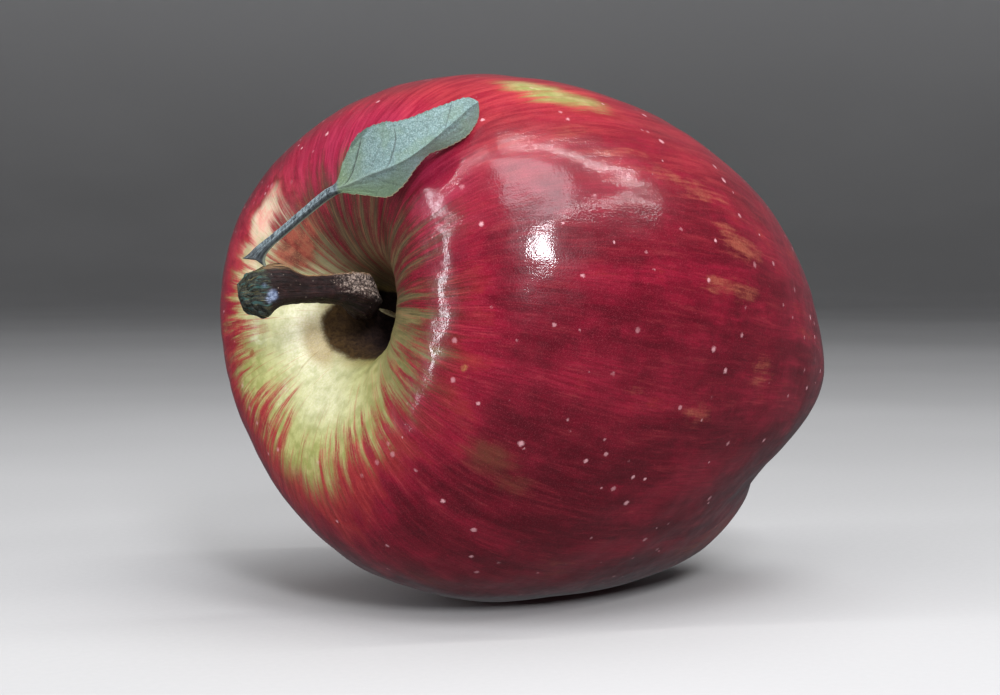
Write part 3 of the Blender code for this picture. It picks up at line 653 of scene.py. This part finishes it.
def stem_material():
    m = Shade("stem_bark")
    mm, lie = m.coords(), m.attr("lie", True)
    end, flake, top = m.attr("end"), m.attr("flake"), m.attr("topside")
    fibre = m.noise(m.vec("MULTIPLY", lie, (9.0, 9.0, 7.0)), 1.0, 5.0, 0.65, 0.4)
    hair = m.noise(m.vec("MULTIPLY", lie, (30.0, 30.0, 9.0)), 1.0, 3.0, 0.6)
    patch = m.noise(mm, 0.55, 4.0, 0.6, 0.3)
    crust = m.noise(mm, 2.4, 5.0, 0.7, 0.3)
    bark = m.mix(m.ramp(fibre, 0.35, 0.66), rgb(15, 9, 9), rgb(42, 24, 22))
    bark = m.mix(m.ramp(m.math("ADD", hair, m.math("MULTIPLY", m.math("SUBTRACT", patch, 0.5), 0.6)), 0.54, 0.72, 0.0, 0.6),
                 bark, rgb(74, 50, 38))
    bark = m.mix(m.ramp(patch, 0.46, 0.66, 0.0, 0.5), bark, rgb(50, 22, 24))
    bark = m.mix(m.ramp(m.cells(mm, 1.1), 0.10, 0.05, 0.0, 0.8), bark, rgb(168, 150, 136))
    # silvery bark on the bend, broken by cross cracks
    crack = m.cells(m.vec("MULTIPLY", lie, (4.5, 4.5, 62.0)), 1.0, "Distance", "DISTANCE_TO_EDGE")
    crack = m.math("ADD", crack, m.math("MULTIPLY", m.math("SUBTRACT", crust, 0.5), 0.20))
    silver = m.mix(m.ramp(crust, 0.36, 0.64), rgb(82, 64, 58), rgb(188, 168, 154))
    silver = m.mix(m.ramp(crack, 0.17, 0.02, 0.0, 0.7), silver, rgb(38, 26, 26))
    on = m.math("MULTIPLY", m.ramp(m.math("ADD", flake, m.math("MULTIPLY", m.math("SUBTRACT", crust, 0.5), 1.6)), 0.32, 0.95), m.ramp(m.math("ADD", m.math("MULTIPLY", crust, 0.5), m.math("MULTIPLY", patch, 0.5)),
                                                             0.36, 0.50, 0.15, 1.0))
    # painted highlight: a tan line along the upper side of the stem
    line = m.math("MULTIPLY", m.ramp(top, 0.86, 0.995), m.ramp(hair, 0.40, 0.58, 0.0, 0.85))
    bark = m.mix(on, bark, silver)
    bark = m.mix(line, bark, rgb(168, 132, 92))
    knob = m.mix(m.ramp(crust, 0.38, 0.62), rgb(13, 14, 12), rgb(44, 46, 36))
    # painted sheen: teal streaks on the dark knob
    painted_teal_sheen = m.noise(m.vec("MULTIPLY", lie, (5.5, 5.5, 10.0)), 1.0, 4.0, 0.65, 0.5)
    knob = m.mix(m.ramp(painted_teal_sheen, 0.52, 0.62, 0.0, 0.8), knob, rgb(48, 84, 80))
    knob = m.mix(m.ramp(hair, 0.58, 0.68, 0.0, 0.75), knob, rgb(132, 122, 76))
    # painted sheen: bluish lavender on the knob's end
    face = m.ramp(m.math("ADD", m.attr("painted_sheen"), m.math("MULTIPLY", m.math("SUBTRACT", hair, 0.5), 0.9)), 0.25, 0.75, 0.0, 0.85)
    face = m.math("MULTIPLY", face, m.ramp(m.attr("painted_sheen"), 0.02, 0.2))
    colour = m.mix(m.ramp(m.math("ADD", end, m.math("MULTIPLY", m.math("SUBTRACT", crust, 0.5), 0.6)), 0.45, 0.75), bark, knob)
    colour = m.mix(face, colour, m.mix(m.ramp(crust, 0.4, 0.6), rgb(92, 108, 138), rgb(150, 164, 192)))
    # painted shade in the crevices
    colour = m.mix(m.math("MULTIPLY", m.attr("painted_crevice_shade"), 0.85), colour, rgb(9, 8, 8))
    m.set("Base Color", colour)
    m.set("Roughness", m.math("ADD", m.ramp(fibre, 0.3, 0.7, 0.46, 0.76), m.math("MULTIPLY", end, -0.14), clamp=True))
    m.set("Specular IOR Level", 0.28)
    n = m.bump(fibre, 0.8, 0.0003)
    n = m.bump(hair, 0.5, 0.00012, n)
    n = m.bump(crust, 0.7, 0.00018, n)
    n = m.bump(m.math("MULTIPLY", m.ramp(crack, 0.0, 0.12), flake), 0.7, 0.00018, n)
    m.set("Normal", n)
    return m.mat


# ------------------------------------------------------------------ leaf
PETIOLE_LINE = ((-47.65, 0.9, 48.5), (-47.2, 0.45, 49.6), (-46.3, -0.3, 50.8), (-45.1, -1.3, 52.1),
                (-42.8, -3.3, 54.7), (-40.5, -5.5, 57.2))
PETIOLE_RADIUS = (1.25, 0.88, 0.66, 0.62, 0.64, 0.70)
MIDRIB_LINE = ((-40.0, -9.1, 58.2), (-39.5, -12.6, 59.3), (-38.6, -15.6, 60.2), (-37.4, -17.8, 61.3),
               (-35.8, -19.2, 62.8), (-33.8, -20.1, 64.6), (-31.4, -20.5, 66.5), (-29.4, -20.4, 67.9),
               (-27.9, -20.3, 68.7))
UPPER_HALF = (3.2, 5.7, 6.05, 5.75, 5.0, 3.9, 2.82, 1.9, 1.25)
UPPER_WAY = np.array((-0.03, 0.67, 0.74))
LOWER_EDGE = ((0.77, -0.25, -1.23), (2.47, -0.32, -2.72), (2.28, 0.12, -2.09), (1.61, 0.47, -1.08),
              (1.27, 0.81, -0.82), (1.61, 0.75, -1.67), (1.69, 0.42, -2.22), (1.3, 0.45, -2.11), (0.94, 0.42, -1.84))
LEAF_ROWS, LEAF_HALF = 330, 34
# side veins: start along the blade, strength above and below the midrib
SIDE_VEINS = ((0.07, 1.0, 0.2), (0.20, 0.25, 0.35), (0.31, 0.75, 0.2), (0.43, 0.15, 0.30), (0.55, 0.25, 0.1),
              (0.68, 0.60, 0.25), (0.80, 0.2, 0.2), (0.90, 0.15, 0.1))


def make_leaf(mat):
    line = np.array(PETIOLE_LINE + MIDRIB_LINE)
    last = len(PETIOLE_LINE) - 1
    t = np.linspace(0, 1, LEAF_ROWS)
    at = t * (len(line) - 1)
    c = spline(line, t)
    ahead = unit(np.gradient(c, axis=0))
    up = UPPER_WAY / np.linalg.norm(UPPER_WAY)
    side = unit(up - ahead * (ahead @ up)[:, None])
    out = np.cross(ahead, side)
    r = spline(tuple(PETIOLE_RADIUS) + (0.6,) * len(MIDRIB_LINE), t)[:, 0]
    hu = spline((0.6,) * (last + 1) + tuple(UPPER_HALF), t)[:, 0]
    lows = np.array(((0.4, 0.3, -0.3),) * (last + 1) + LOWER_EDGE)
    lo = spline(lows, t)
    lo = lo - ahead * (lo * ahead).sum(-1, keepdims=True)
    blunt = np.sqrt(np.maximum(1 - np.clip(at - (len(line) - 2), 0, 1) ** 2.4, 2e-3))       # rounded tip
    hu, lo = hu * blunt, lo * blunt[:, None]
    flat = step(last + 0.0, last + 1.0, at)
    blade = np.clip((at - last) / (len(line) - 1 - last), 0, 1)          # 0 foot of the blade, 1 tip
    q = np.linspace(-1, 1, 2 * LEAF_HALF + 1)
    Q, B = np.meshgrid(q, blade)
    # teeth along both margins, leaning to the tip
    saw = (B * 27.0) % 1.0
    tooth = 0.15 * (saw - 0.5) * step(0.04, 0.12, B) * (1 - step(0.93, 1.0, B)) * step(0.80, 1.0, np.abs(Q))
    width_u = hu[:, None] * np.clip(Q, 0, 1) + np.where(Q > 0, tooth, 0)
    low_len = np.linalg.norm(lo, axis=-1)
    width_l = (low_len[:, None] * np.clip(-Q, 0, 1) + np.where(Q < 0, tooth, 0)) / low_len[:, None]
    way = side[:, None, :] * width_u[:, :, None] + lo[:, None, :] * width_l[:, :, None]
    bow = 0.10 * hu[:, None] * np.clip(Q, 0, 1) ** 2
    # relief of the blade: wavy margins, cupped fields between the side veins, small crinkles
    flatpos = np.stack([B * 25.0, Q * 6.0, 0 * Q], -1)
    wave = 0.16 * waves(flatpos, 9.0, 4, 2) * np.abs(Q) ** 1.5
    crink = 0.055 * waves(flatpos, 1.5, 9, 3)
    vein = np.zeros_like(Q)
    for v0, k_up, k_low in SIDE_VEINS:
        for s, k in ((1, k_up), (-1, k_low)):
            reach = v0 + (0.012 if s < 0 else 0.0) + (0.17 if s > 0 else 0.12) * np.abs(Q) ** 0.85
            d = (B - reach) * 25.0
            vein = np.maximum(vein, k * np.exp(-(d / 0.14) ** 2) * (Q * s > 0) * (1 - step(0.75, 0.98, np.abs(Q))))
    rib = np.exp(-(np.abs(Q) * np.where(Q > 0, hu[:, None], low_len[:, None]) / 0.26) ** 2)
    quilt = -0.10 * vein
    z = (wave + crink + quilt) * step(0.0, 0.06, B) * (1 - 0.5 * step(0.9, 1.0, B))
    thick = 0.34 * (1 - 0.45 * np.abs(Q)) * (1 - 0.4 * B) + 0.35 * rib * (1 - 0.75 * B)
    front = way + out[:, None, :] * (bow + z + 0.5 * thick)[:, :, None]
    back = way + out[:, None, :] * (bow + z - 0.5 * thick)[:, :, None]
    # round petiole with lengthwise fibres, a channel on top, and a flared, forked foot
    ang = Q * math.pi / 2
    fib = 1 + 0.05 * np.sin(9 * ang + 3 * t[:, None]) + 0.04 * np.sin(17 * ang - 5 * t[:, None])
    foot = (1 - step(0.0, 0.09, t))[:, None]
    rr = r[:, None] * fib
    lean = side[:, None, :] * (np.sin(ang) * 0.92 * rr)[:, :, None]
    rise = (np.cos(ang) * 0.92 * rr + 0.06 * r[:, None]) * (1 - 0.25 * np.exp(-(ang / 0.35) ** 2) * (1 - foot))
    tube_f = lean + out[:, None, :] * rise[:, :, None]
    tube_b = lean - out[:, None, :] * (np.cos(ang) * 0.92 * rr + 0.06 * r[:, None])[:, :, None]
    # two prongs at the foot, and a small hooked spur part way up the stalk
    seen = np.array((0.744, -0.668, 0.0))
    flare = (1 - step(0.0, 0.5, at))[:, None]
    for tube in (tube_f, tube_b):
        e = (tube @ seen) / r[:, None]
        tube += seen[None, None] * (0.42 * e * r[:, None] * flare)[:, :, None]
        tube -= ahead[:, None, :] * ((0.75 * np.abs(e) ** 1.5 - 0.20) * flare)[:, :, None]
        spur = np.exp(-((at - 2.75) / 0.17) ** 2)[:, None] * np.clip(-e, 0, 1.2) ** 6
        tube += (-0.95 * seen[None, None] + 0.5 * ahead[:, None, :]) * spur[:, :, None]
    k = flat[:, None, None]
    F = c[:, None, :] + tube_f * (1 - k) + front * k
    K = c[:, None, :] + tube_b * (1 - k) + back * k
    cols = 2 * q.size
    ring = np.concatenate([F, K[:, ::-1]], 1)
    pts = np.concatenate([ring.reshape(-1, 3), c[:1], c[-1:] + ahead[-1:] * 0.05])
    Qf = np.concatenate([Q, Q[:, ::-1]], 1)
    Bf = np.concatenate([B, B], 1)
    face = np.concatenate([np.ones_like(Q), np.zeros_like(Q)], 1)
    Vf = np.concatenate([vein, vein[:, ::-1]], 1)
    Rf = np.concatenate([rib, rib[:, ::-1]], 1)
    stalk = np.repeat(1 - flat[:, None], cols, 1)
    pos = np.stack([Bf * 25.0, Qf * np.where(Qf > 0, np.repeat(hu[:, None], cols, 1), np.repeat(low_len[:, None], cols, 1)),
                    np.repeat(at[:, None], cols, 1)], -1)
    tail = lambda a, e: np.concatenate([a.ravel(), e])
    attributes = {"blade": np.concatenate([pos.reshape(-1, 3), ((0, 0, 0), (25, 0, 14))]),
                  "across": tail(Qf, (0, 0)), "vein": tail(Vf, (0, 0)), "rib": tail(Rf * (1 - stalk), (0, 0)),
                  "stalk": tail(stalk, (1, 0)), "front": tail(face, (1, 1))}
    faces = tube_faces(LEAF_ROWS, cols, LEAF_ROWS * cols, LEAF_ROWS * cols + 1)
    return mesh_object("apple_leaf", pts * MM, faces, mat, attributes)


def leaf_material():
    m = Shade("leaf_green")
    mm, pos = m.coords(), m.attr("blade", True)
    across, vein, rib, stalk, front = (m.attr(k) for k in ("across", "vein", "rib", "stalk", "front"))
    net = m.cells(mm, 1.5, "Distance", "DISTANCE_TO_EDGE")
    net2 = m.cells(mm, 3.4, "Distance", "DISTANCE_TO_EDGE")
    patch = m.noise(mm, 0.35, 3.0, 0.55, 0.3)
    mottle = m.noise(mm, 1.9, 4.0, 0.65)
    speck = m.noise(mm, 5.5, 2.0, 0.6)
    green = m.mix(m.ramp(mottle, 0.34, 0.66), rgb(76, 100, 98), rgb(104, 129, 128))
    green = m.mix(m.ramp(speck, 0.46, 0.66, 0.0, 0.50), green, rgb(146, 166, 168))
    green = m.mix(m.ramp(speck, 0.46, 0.32, 0.0, 0.45), green, rgb(66, 90, 86))
    # painted light: the lower half is lightened to even out the shade of its fold
    green = m.mix(m.ramp(across, -0.02, -0.40, 0.0, 0.26), green, rgb(150, 174, 168))
    green = m.mix(m.ramp(patch, 0.42, 0.70, 0.0, 0.32), green, rgb(98, 118, 84))
    sepb = m.node("ShaderNodeSeparateXYZ")
    m.put(sepb.inputs[0], pos)
    foot = m.ramp(sepb.outputs[0], 1.0, 6.5, 0.6, 0.0)
    green = m.mix(foot, green, rgb(100, 118, 62))
    # darker olive on the lower half toward the tip, partly painted shade
    dark = m.math("MULTIPLY", m.ramp(across, -0.1, -0.75, 0.0, 0.45), m.ramp(sepb.outputs[0], 11.0, 17.0))
    green = m.mix(dark, green, rgb(92, 106, 78))
    lobe = m.math("MULTIPLY", m.ramp(across, -0.05, -0.7, 0.0, 0.70), m.ramp(sepb.outputs[0], 12.0, 6.0))
    green = m.mix(lobe, green, rgb(104, 128, 88))
    spine = m.math("SUBTRACT", sepb.outputs[0], m.math("MULTIPLY", across, 3.2))
    blot = m.math("MULTIPLY", m.ramp(across, 0.80, 0.97), m.math("MULTIPLY", m.ramp(spine, 0.6, 1.6), m.ramp(spine, 4.2, 2.6)))
    blot = m.ramp(m.math("ADD", blot, m.math("MULTIPLY", m.math("SUBTRACT", mottle, 0.5), 0.7)), 0.35, 0.75, 0.0, 0.7)
    green = m.mix(blot, green, rgb(50, 62, 56))
    green = m.mix(m.ramp(net, 0.0, 0.10, 0.26, 0.0), green, rgb(70, 90, 74))
    green = m.mix(m.ramp(net2, 0.0, 0.09, 0.24, 0.0), green, rgb(84, 104, 90))
    green = m.mix(m.math("MULTIPLY", vein, 0.95), green, rgb(30, 38, 35))
    green = m.mix(m.math("MULTIPLY", rib, m.ramp(sepb.outputs[0], 4.0, 14.0, 0.35, 0.0)), green, rgb(128, 146, 136))
    margin = m.ramp(m.math("ABSOLUTE", across, 0.0), 0.955, 0.99)
    green = m.mix(m.math("MULTIPLY", margin, m.ramp(across, -0.5, 0.5, 0.60, 0.0)), green, rgb(176, 156, 116))
    green = m.mix(m.math("MULTIPLY", margin, m.ramp(across, -0.5, 0.5, 0.0, 0.55)), green, rgb(58, 64, 52))
    fibre = m.noise(m.vec("MULTIPLY", pos, (0.0, 0.0, 1.0)), 1.0, 1.0)
    thread = m.noise(m.vec("MULTIPLY", mm, (3.2, 3.2, 0.9)), 1.0, 4.0, 0.65, 0.3)
    stick = m.mix(m.ramp(thread, 0.36, 0.64), rgb(34, 44, 50), rgb(108, 122, 126))
    # painted shade: the stalk's lower flank near black and its upper flank darker
    stick = m.mix(m.ramp(across, -0.15, -0.80, 0.0, 0.85), stick, rgb(20, 24, 24))
    stick = m.mix(m.ramp(across, 0.55, 0.95, 0.0, 0.6), stick, rgb(38, 46, 50))
    stick = m.mix(m.ramp(sepb.outputs[2], 0.2, 2.0, 0.80, 0.0), stick, rgb(22, 27, 31))
    stick = m.mix(m.ramp(fibre, 0.6, 0.9, 0.0, 0.1), stick, rgb(104, 92, 70))
    colour = m.mix(m.ramp(m.math("ADD", stalk, m.math("MULTIPLY", m.math("SUBTRACT", mottle, 0.5), 0.4)), 0.35, 0.7), green, stick)
    under = m.mix(0.4, colour, rgb(150, 160, 138))
    colour = m.mix(front, under, colour)
    m.set("Base Color", colour)
    m.set("Roughness", m.ramp(mottle, 0.3, 0.7, 0.52, 0.72))
    m.set("Specular IOR Level", 0.4)
    m.set("Sheen Weight", 0.15)
    m.set("Sheen Roughness", 0.5)
    n = m.bump(m.ramp(net, 0.0, 0.16), 0.35, 0.00007)
    n = m.bump(mottle, 0.5, 0.00012, n)
    n = m.bump(m.math("MULTIPLY", thread, stalk), 0.8, 0.0002, n)
    n = m.bump(speck, 0.3, 0.00005, n)
    m.set("Normal", n)
    return m.mat


# ------------------------------------------------------------------ dried calyx lobes
SEPALS = 5
SEPAL_FOOT, SEPAL_LENGTH, SEPAL_WIDTH, SEPAL_THICK = 0.0027, 0.0046, 0.0021, 0.00045
GAP = 0.00033


def make_sepal(index, mat):
    ang = 2 * math.pi * (index + 0.35) / SEPALS
    floor = hull(np.array(math.pi - 0.088), np.array(ang))[2] - GAP
    out_way = np.array((math.cos(ang), math.sin(ang), 0.0))
    side_way = np.array((-math.sin(ang), math.cos(ang), 0.0))
    rows, half = 60, 13
    t = np.linspace(0, 1, rows)
    r = SEPAL_FOOT - 0.0007 * np.sin(math.pi * np.minimum(t * 1.4, 1.0)) + 0.0024 * np.maximum(t - 0.5, 0.0) ** 1.5
    w = floor - SEPAL_LENGTH * t * (1 - 0.12 * t)
    wide = SEPAL_WIDTH * (1.0 - t ** 1.6) * 0.5 + 0.00010
    thick = SEPAL_THICK * (1.0 - 0.45 * t) * 0.40
    k = 2 * half
    a = 2 * math.pi * np.arange(k) / k
    qa, pa = np.cos(a), np.sin(a)
    T = t[:, None]
    grid = np.stack([T * 9 + 0 * qa, qa * 3 + 0 * T, pa + index * 7.0 + 0 * T], -1)
    curl = 0.00012 * waves(grid, 4.0, 60 + index, 2)
    fold = 0.00007 * np.sin(5 * qa[None, :] * math.pi + 2 * T) * (1 - T)
    edge = 1 + 0.10 * waves(grid * np.array((1.0, 0.2, 0.2)), 1.2, 80 + index, 3)
    outw = r[:, None] + thick[:, None] * pa[None, :] + 0.00022 * qa[None, :] ** 2 + (curl + fold) * 0.8
    sidew = wide[:, None] * qa[None, :] * edge
    p = (out_way[None, None] * outw[:, :, None] + side_way[None, None] * sidew[:, :, None])
    p[:, :, 2] = w[:, None]
    foot = p[0].mean(0)
    tip = p[-1].mean(0) - np.array((0, 0, 0.00012))
    pts = np.concatenate([p.reshape(-1, 3), foot[None], tip[None]])
    pos = np.concatenate([np.stack([T + 0 * qa, qa + 0 * T, pa + 0 * T], -1).reshape(-1, 3), ((0, 0, 0), (1, 0, 0))])
    faces = tube_faces(rows, k, rows * k, rows * k + 1)
    return mesh_object(f"calyx_lobe_{index + 1}", place(pts), faces, mat, {"lobe": pos})


def calyx_material():
    m = Shade("dry_calyx")
    mm, pos = m.coords(), m.attr("lobe", True)
    lines = m.noise(m.vec("MULTIPLY", pos, (1.2, 7.0, 1.0)), 1.0, 4.0, 0.6, 0.2)
    patch = m.noise(mm, 1.1, 4.0, 0.6)
    fuzz = m.noise(mm, 9.0, 3.0, 0.7)
    colour = m.mix(m.ramp(lines, 0.35, 0.65), rgb(48, 31, 19), rgb(104, 74, 45))
    colour = m.mix(m.ramp(patch, 0.50, 0.66, 0.0, 0.4), colour, rgb(86, 82, 46))
    colour = m.mix(m.ramp(fuzz, 0.52, 0.70, 0.0, 0.35), colour, rgb(160, 138, 104))
    sepp = m.node("ShaderNodeSeparateXYZ")
    m.put(sepp.inputs[0], pos)
    colour = m.mix(m.ramp(sepp.outputs[0], 0.55, 1.0, 0.0, 0.7), colour, rgb(36, 24, 16))
    m.set("Base Color", colour)
    m.set("Roughness", m.ramp(patch, 0.3, 0.7, 0.7, 0.92))
    m.set("Sheen Weight", 0.2)
    m.set("Sheen Roughness", 0.6)
    n = m.bump(lines, 0.7, 0.00012)
    n = m.bump(fuzz, 0.6, 0.00006, n)
    m.set("Normal", n)
    return m.mat


# ------------------------------------------------------------------ bud scale
SCALE_FROM, SCALE_TO = (-0.34, -0.92, 28.64), (0.465, 1.055, 30.5)
SCALE_WIDTH, SCALE_THICK = 0.00072, 0.00032


def make_scale(mat):
    a, b = np.array(SCALE_FROM) * MM, np.array(SCALE_TO) * MM
    ahead = unit(b - a)
    first = unit(np.cross(ahead, (0.0, 1.0, 0.0)))
    second = np.cross(ahead, first)
    rows, k = 60, 26
    t = np.linspace(0, 1, rows)[:, None]
    an = 2 * math.pi * np.arange(k) / k
    c = a + (b - a) * t + second * (0.00012 * np.sin(math.pi * t))
    wide = SCALE_WIDTH * 0.5 * (0.45 + 0.55 * np.sin(math.pi * (0.25 + 0.6 * t))) * (1 - 0.8 * t ** 2.5)
    ribs = 1 + 0.08 * np.sin(9 * an + 3 * t) + 0.05 * np.sin(14 * an)
    p = (c[:, None, :] + first * (wide * np.cos(an) * ribs)[:, :, None]
         + second * (SCALE_THICK * 0.46 * np.sin(an) * ribs * (1 - 0.4 * t))[:, :, None])
    pts = np.concatenate([p.reshape(-1, 3), c[:1], c[-1:]])
    pos = np.concatenate([np.stack([t + 0 * an, np.cos(an) + 0 * t, np.sin(an) + 0 * t], -1).reshape(-1, 3),
                          ((0, 0, 0), (1, 0, 0))])
    return mesh_object("apple_bud_scale", place(pts), tube_faces(rows, k, rows * k, rows * k + 1), mat, {"lobe": pos})


def scale_material():
    m = Shade("dry_scale")
    mm, pos = m.coords(), m.attr("lobe", True)
    lines = m.noise(m.vec("MULTIPLY", pos, (1.0, 6.0, 6.0)), 1.0, 3.0, 0.6)
    speck = m.noise(mm, 7.0, 3.0, 0.6)
    colour = m.mix(m.ramp(lines, 0.35, 0.65), rgb(92, 76, 48), rgb(176, 164, 122))
    colour = m.mix(m.ramp(speck, 0.50, 0.66, 0.0, 0.7), colour, rgb(84, 60, 36))
    m.set("Base Color", colour)
    m.set("Roughness", m.ramp(speck, 0.3, 0.7, 0.6, 0.85))
    m.set("Normal", m.bump(lines, 0.6, 0.00008))
    return m.mat


# ------------------------------------------------------------------ stage
def floor_material():
    m = Shade("studio_floor")
    mm = m.coords()
    soft = m.noise(mm, 0.004, 3.0, 0.5)
    grain = m.noise(mm, 0.9, 4.0, 0.6)
    high = m.node("ShaderNodeSeparateXYZ")
    m.put(high.inputs[0], mm)
    tone = m.mix(m.ramp(soft, 0.3, 0.7), rgb(170, 169, 168), rgb(178, 177, 176))
    m.set("Base Color", m.mix(m.ramp(high.outputs[2], 20.0, 500.0), tone, rgb(242, 241, 240)))
    m.set("Roughness", m.ramp(grain, 0.3, 0.7, 0.62, 0.72))
    m.set("Specular IOR Level", 0.25)
    m.set("Normal", m.bump(grain, 0.12, 0.0002))
    return m.mat


def make_floor():
    """pale floor that turns up into a round wall far away, the same from every side"""
    profile = [(0.0, 0.0), (0.05, 0.0), (0.12, 0.0), (0.3, 0.0), (0.8, 0.0), (1.4, 0.0)]
    for i in range(1, 13):
        a = i / 12 * math.pi / 2
        profile.append((1.4 + 1.1 * math.sin(a), 1.1 * (1 - math.cos(a))))
    profile += [(2.5, 1.8), (2.5, 2.6)]
    n = 96
    bm = bmesh.new()
    mid = bm.verts.new((0, 0, -2e-5))
    rows = [[bm.verts.new((r * math.cos(2 * math.pi * k / n), r * math.sin(2 * math.pi * k / n), z - 2e-5))
             for k in range(n)] for r, z in profile[1:]]
    for k in range(n):
        bm.faces.new((mid, rows[0][k], rows[0][(k + 1) % n]))
    for a, b in zip(rows[:-1], rows[1:]):
        for k in range(n):
            bm.faces.new((a[k], b[k], b[(k + 1) % n], a[(k + 1) % n]))
    mesh = bpy.data.meshes.new("studio_floor")
    bm.to_mesh(mesh)
    bm.free()
    mesh.shade_smooth()
    mesh.materials.append(floor_material())
    obj = bpy.data.objects.new("studio_floor", mesh)
    bpy.context.scene.collection.objects.link(obj)
    return obj


def area_light(name, spot, azimuth, elevation, distance, size_x, size_y, power, colour=(1, 1, 1)):
    """rectangular light that looks at spot from a direction; azimuth 0 is +X, 90 is +Y"""
    az, el = math.radians(azimuth), math.radians(elevation)
    way = Vector((math.cos(az) * math.cos(el), math.sin(az) * math.cos(el), math.sin(el)))
    data = bpy.data.lights.new(name, "AREA")
    data.shape = "RECTANGLE"
    data.size, data.size_y = size_x, size_y
    data.energy = power
    data.color = colour
    obj = bpy.data.objects.new(name, data)
    obj.location = Vector(spot) + way * distance
    obj.rotation_euler = way.to_track_quat("Z", "Y").to_euler()
    bpy.context.scene.collection.objects.link(obj)
    return obj


def tube_light(name, spot, start, end, distance, width, power, colour=(1, 1, 1)):
    """long thin light between two directions (azimuth, elevation) seen from spot"""
    ends = []
    for azimuth, elevation in (start, end):
        az, el = math.radians(azimuth), math.radians(elevation)
        ends.append(Vector(spot) + distance * Vector((math.cos(az) * math.cos(el), math.sin(az) * math.cos(el),
                                                      math.sin(el))))
    mid = (ends[0] + ends[1]) / 2
    x = (ends[1] - ends[0]).normalized()
    z = mid - Vector(spot)
    z = (z - x * z.dot(x)).normalized()
    data = bpy.data.lights.new(name, "AREA")
    data.shape = "RECTANGLE"
    data.size, data.size_y = (ends[1] - ends[0]).length, width
    data.energy = power
    data.color = colour
    obj = bpy.data.objects.new(name, data)
    m = Matrix((x, z.cross(x), z)).transposed().to_4x4()
    m.translation = mid
    obj.matrix_world = m
    bpy.context.scene.collection.objects.link(obj)
    return obj


def make_world(strength, colour):
    world = bpy.data.worlds.new("studio")
    world.use_nodes = True
    bg = world.node_tree.nodes.get("Background") or world.node_tree.nodes.new("ShaderNodeBackground")
    bg.inputs[0].default_value = (*colour, 1.0)
    bg.inputs[1].default_value = strength
    bpy.context.scene.world = world


def make_camera():
    back = Vector((-0.6674, -0.7430, 0.0500)).normalized()
    right = Vector((0.74398, -0.66821, 0.0)).normalized()
    up = back.cross(right).normalized()
    data = bpy.data.cameras.new("photo_view")
    data.sensor_fit = "HORIZONTAL"
    data.sensor_width = 36.0
    data.lens = 75.6
    data.clip_start = 0.01
    data.clip_end = 20.0
    obj = bpy.data.objects.new("photo_view", data)
    m = Matrix((right, up, back)).transposed().to_4x4()
    m.translation = Vector((-0.20621, -0.22301, 0.05082))
    obj.matrix_world = m
    bpy.context.scene.collection.objects.link(obj)
    bpy.context.scene.camera = obj


# ------------------------------------------------------------------ build
def main():
    def hand_over(obj, node):
        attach(obj, "root")
        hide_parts(node)

    hand_over(make_skin(skin_material()), "fruit")
    hand_over(make_stem(stem_material()), "stem")
    hand_over(make_leaf(leaf_material()), "leaf")
    dry = calyx_material()
    for i in range(SEPALS):
        hand_over(make_sepal(i, dry), f"sepal_{i + 1}")
    hand_over(make_scale(scale_material()), "bud_scale")

    floor = make_floor()
    floor.visible_glossy = False                # no pale glare of the floor in the wax
    bpy.context.scene.view_settings.view_transform = "Standard"
    make_world(0.11, (0.92, 0.94, 1.0))
    spot = (-0.015, -0.02, 0.045)
    cool = (0.93, 0.95, 1.0)
    area_light("key", spot, -121, 29, 0.55, 0.09, 0.15, 2.6, cool)
    area_light("left_strip", spot, 156, 11, 0.60, 0.050, 0.28, 1.5, cool)
    area_light("overhead", spot, -120, 58, 0.75, 0.46, 0.27, 3.0, cool)
    fill = area_light("top", spot, 20, 78, 0.80, 0.60, 0.60, 2.8, cool)
    fill.visible_glossy = False
    tube_light("arch_left", spot, (159, 24), (-163, 67), 0.60, 0.007, 1.05)
    tube_light("arch_right", spot, (-150, 76), (-39, 43), 0.60, 0.007, 1.30)
    tube_light("side_strip", spot, (-112, 41), (-46, 38), 0.60, 0.016, 0.75)
    make_camera()


main()
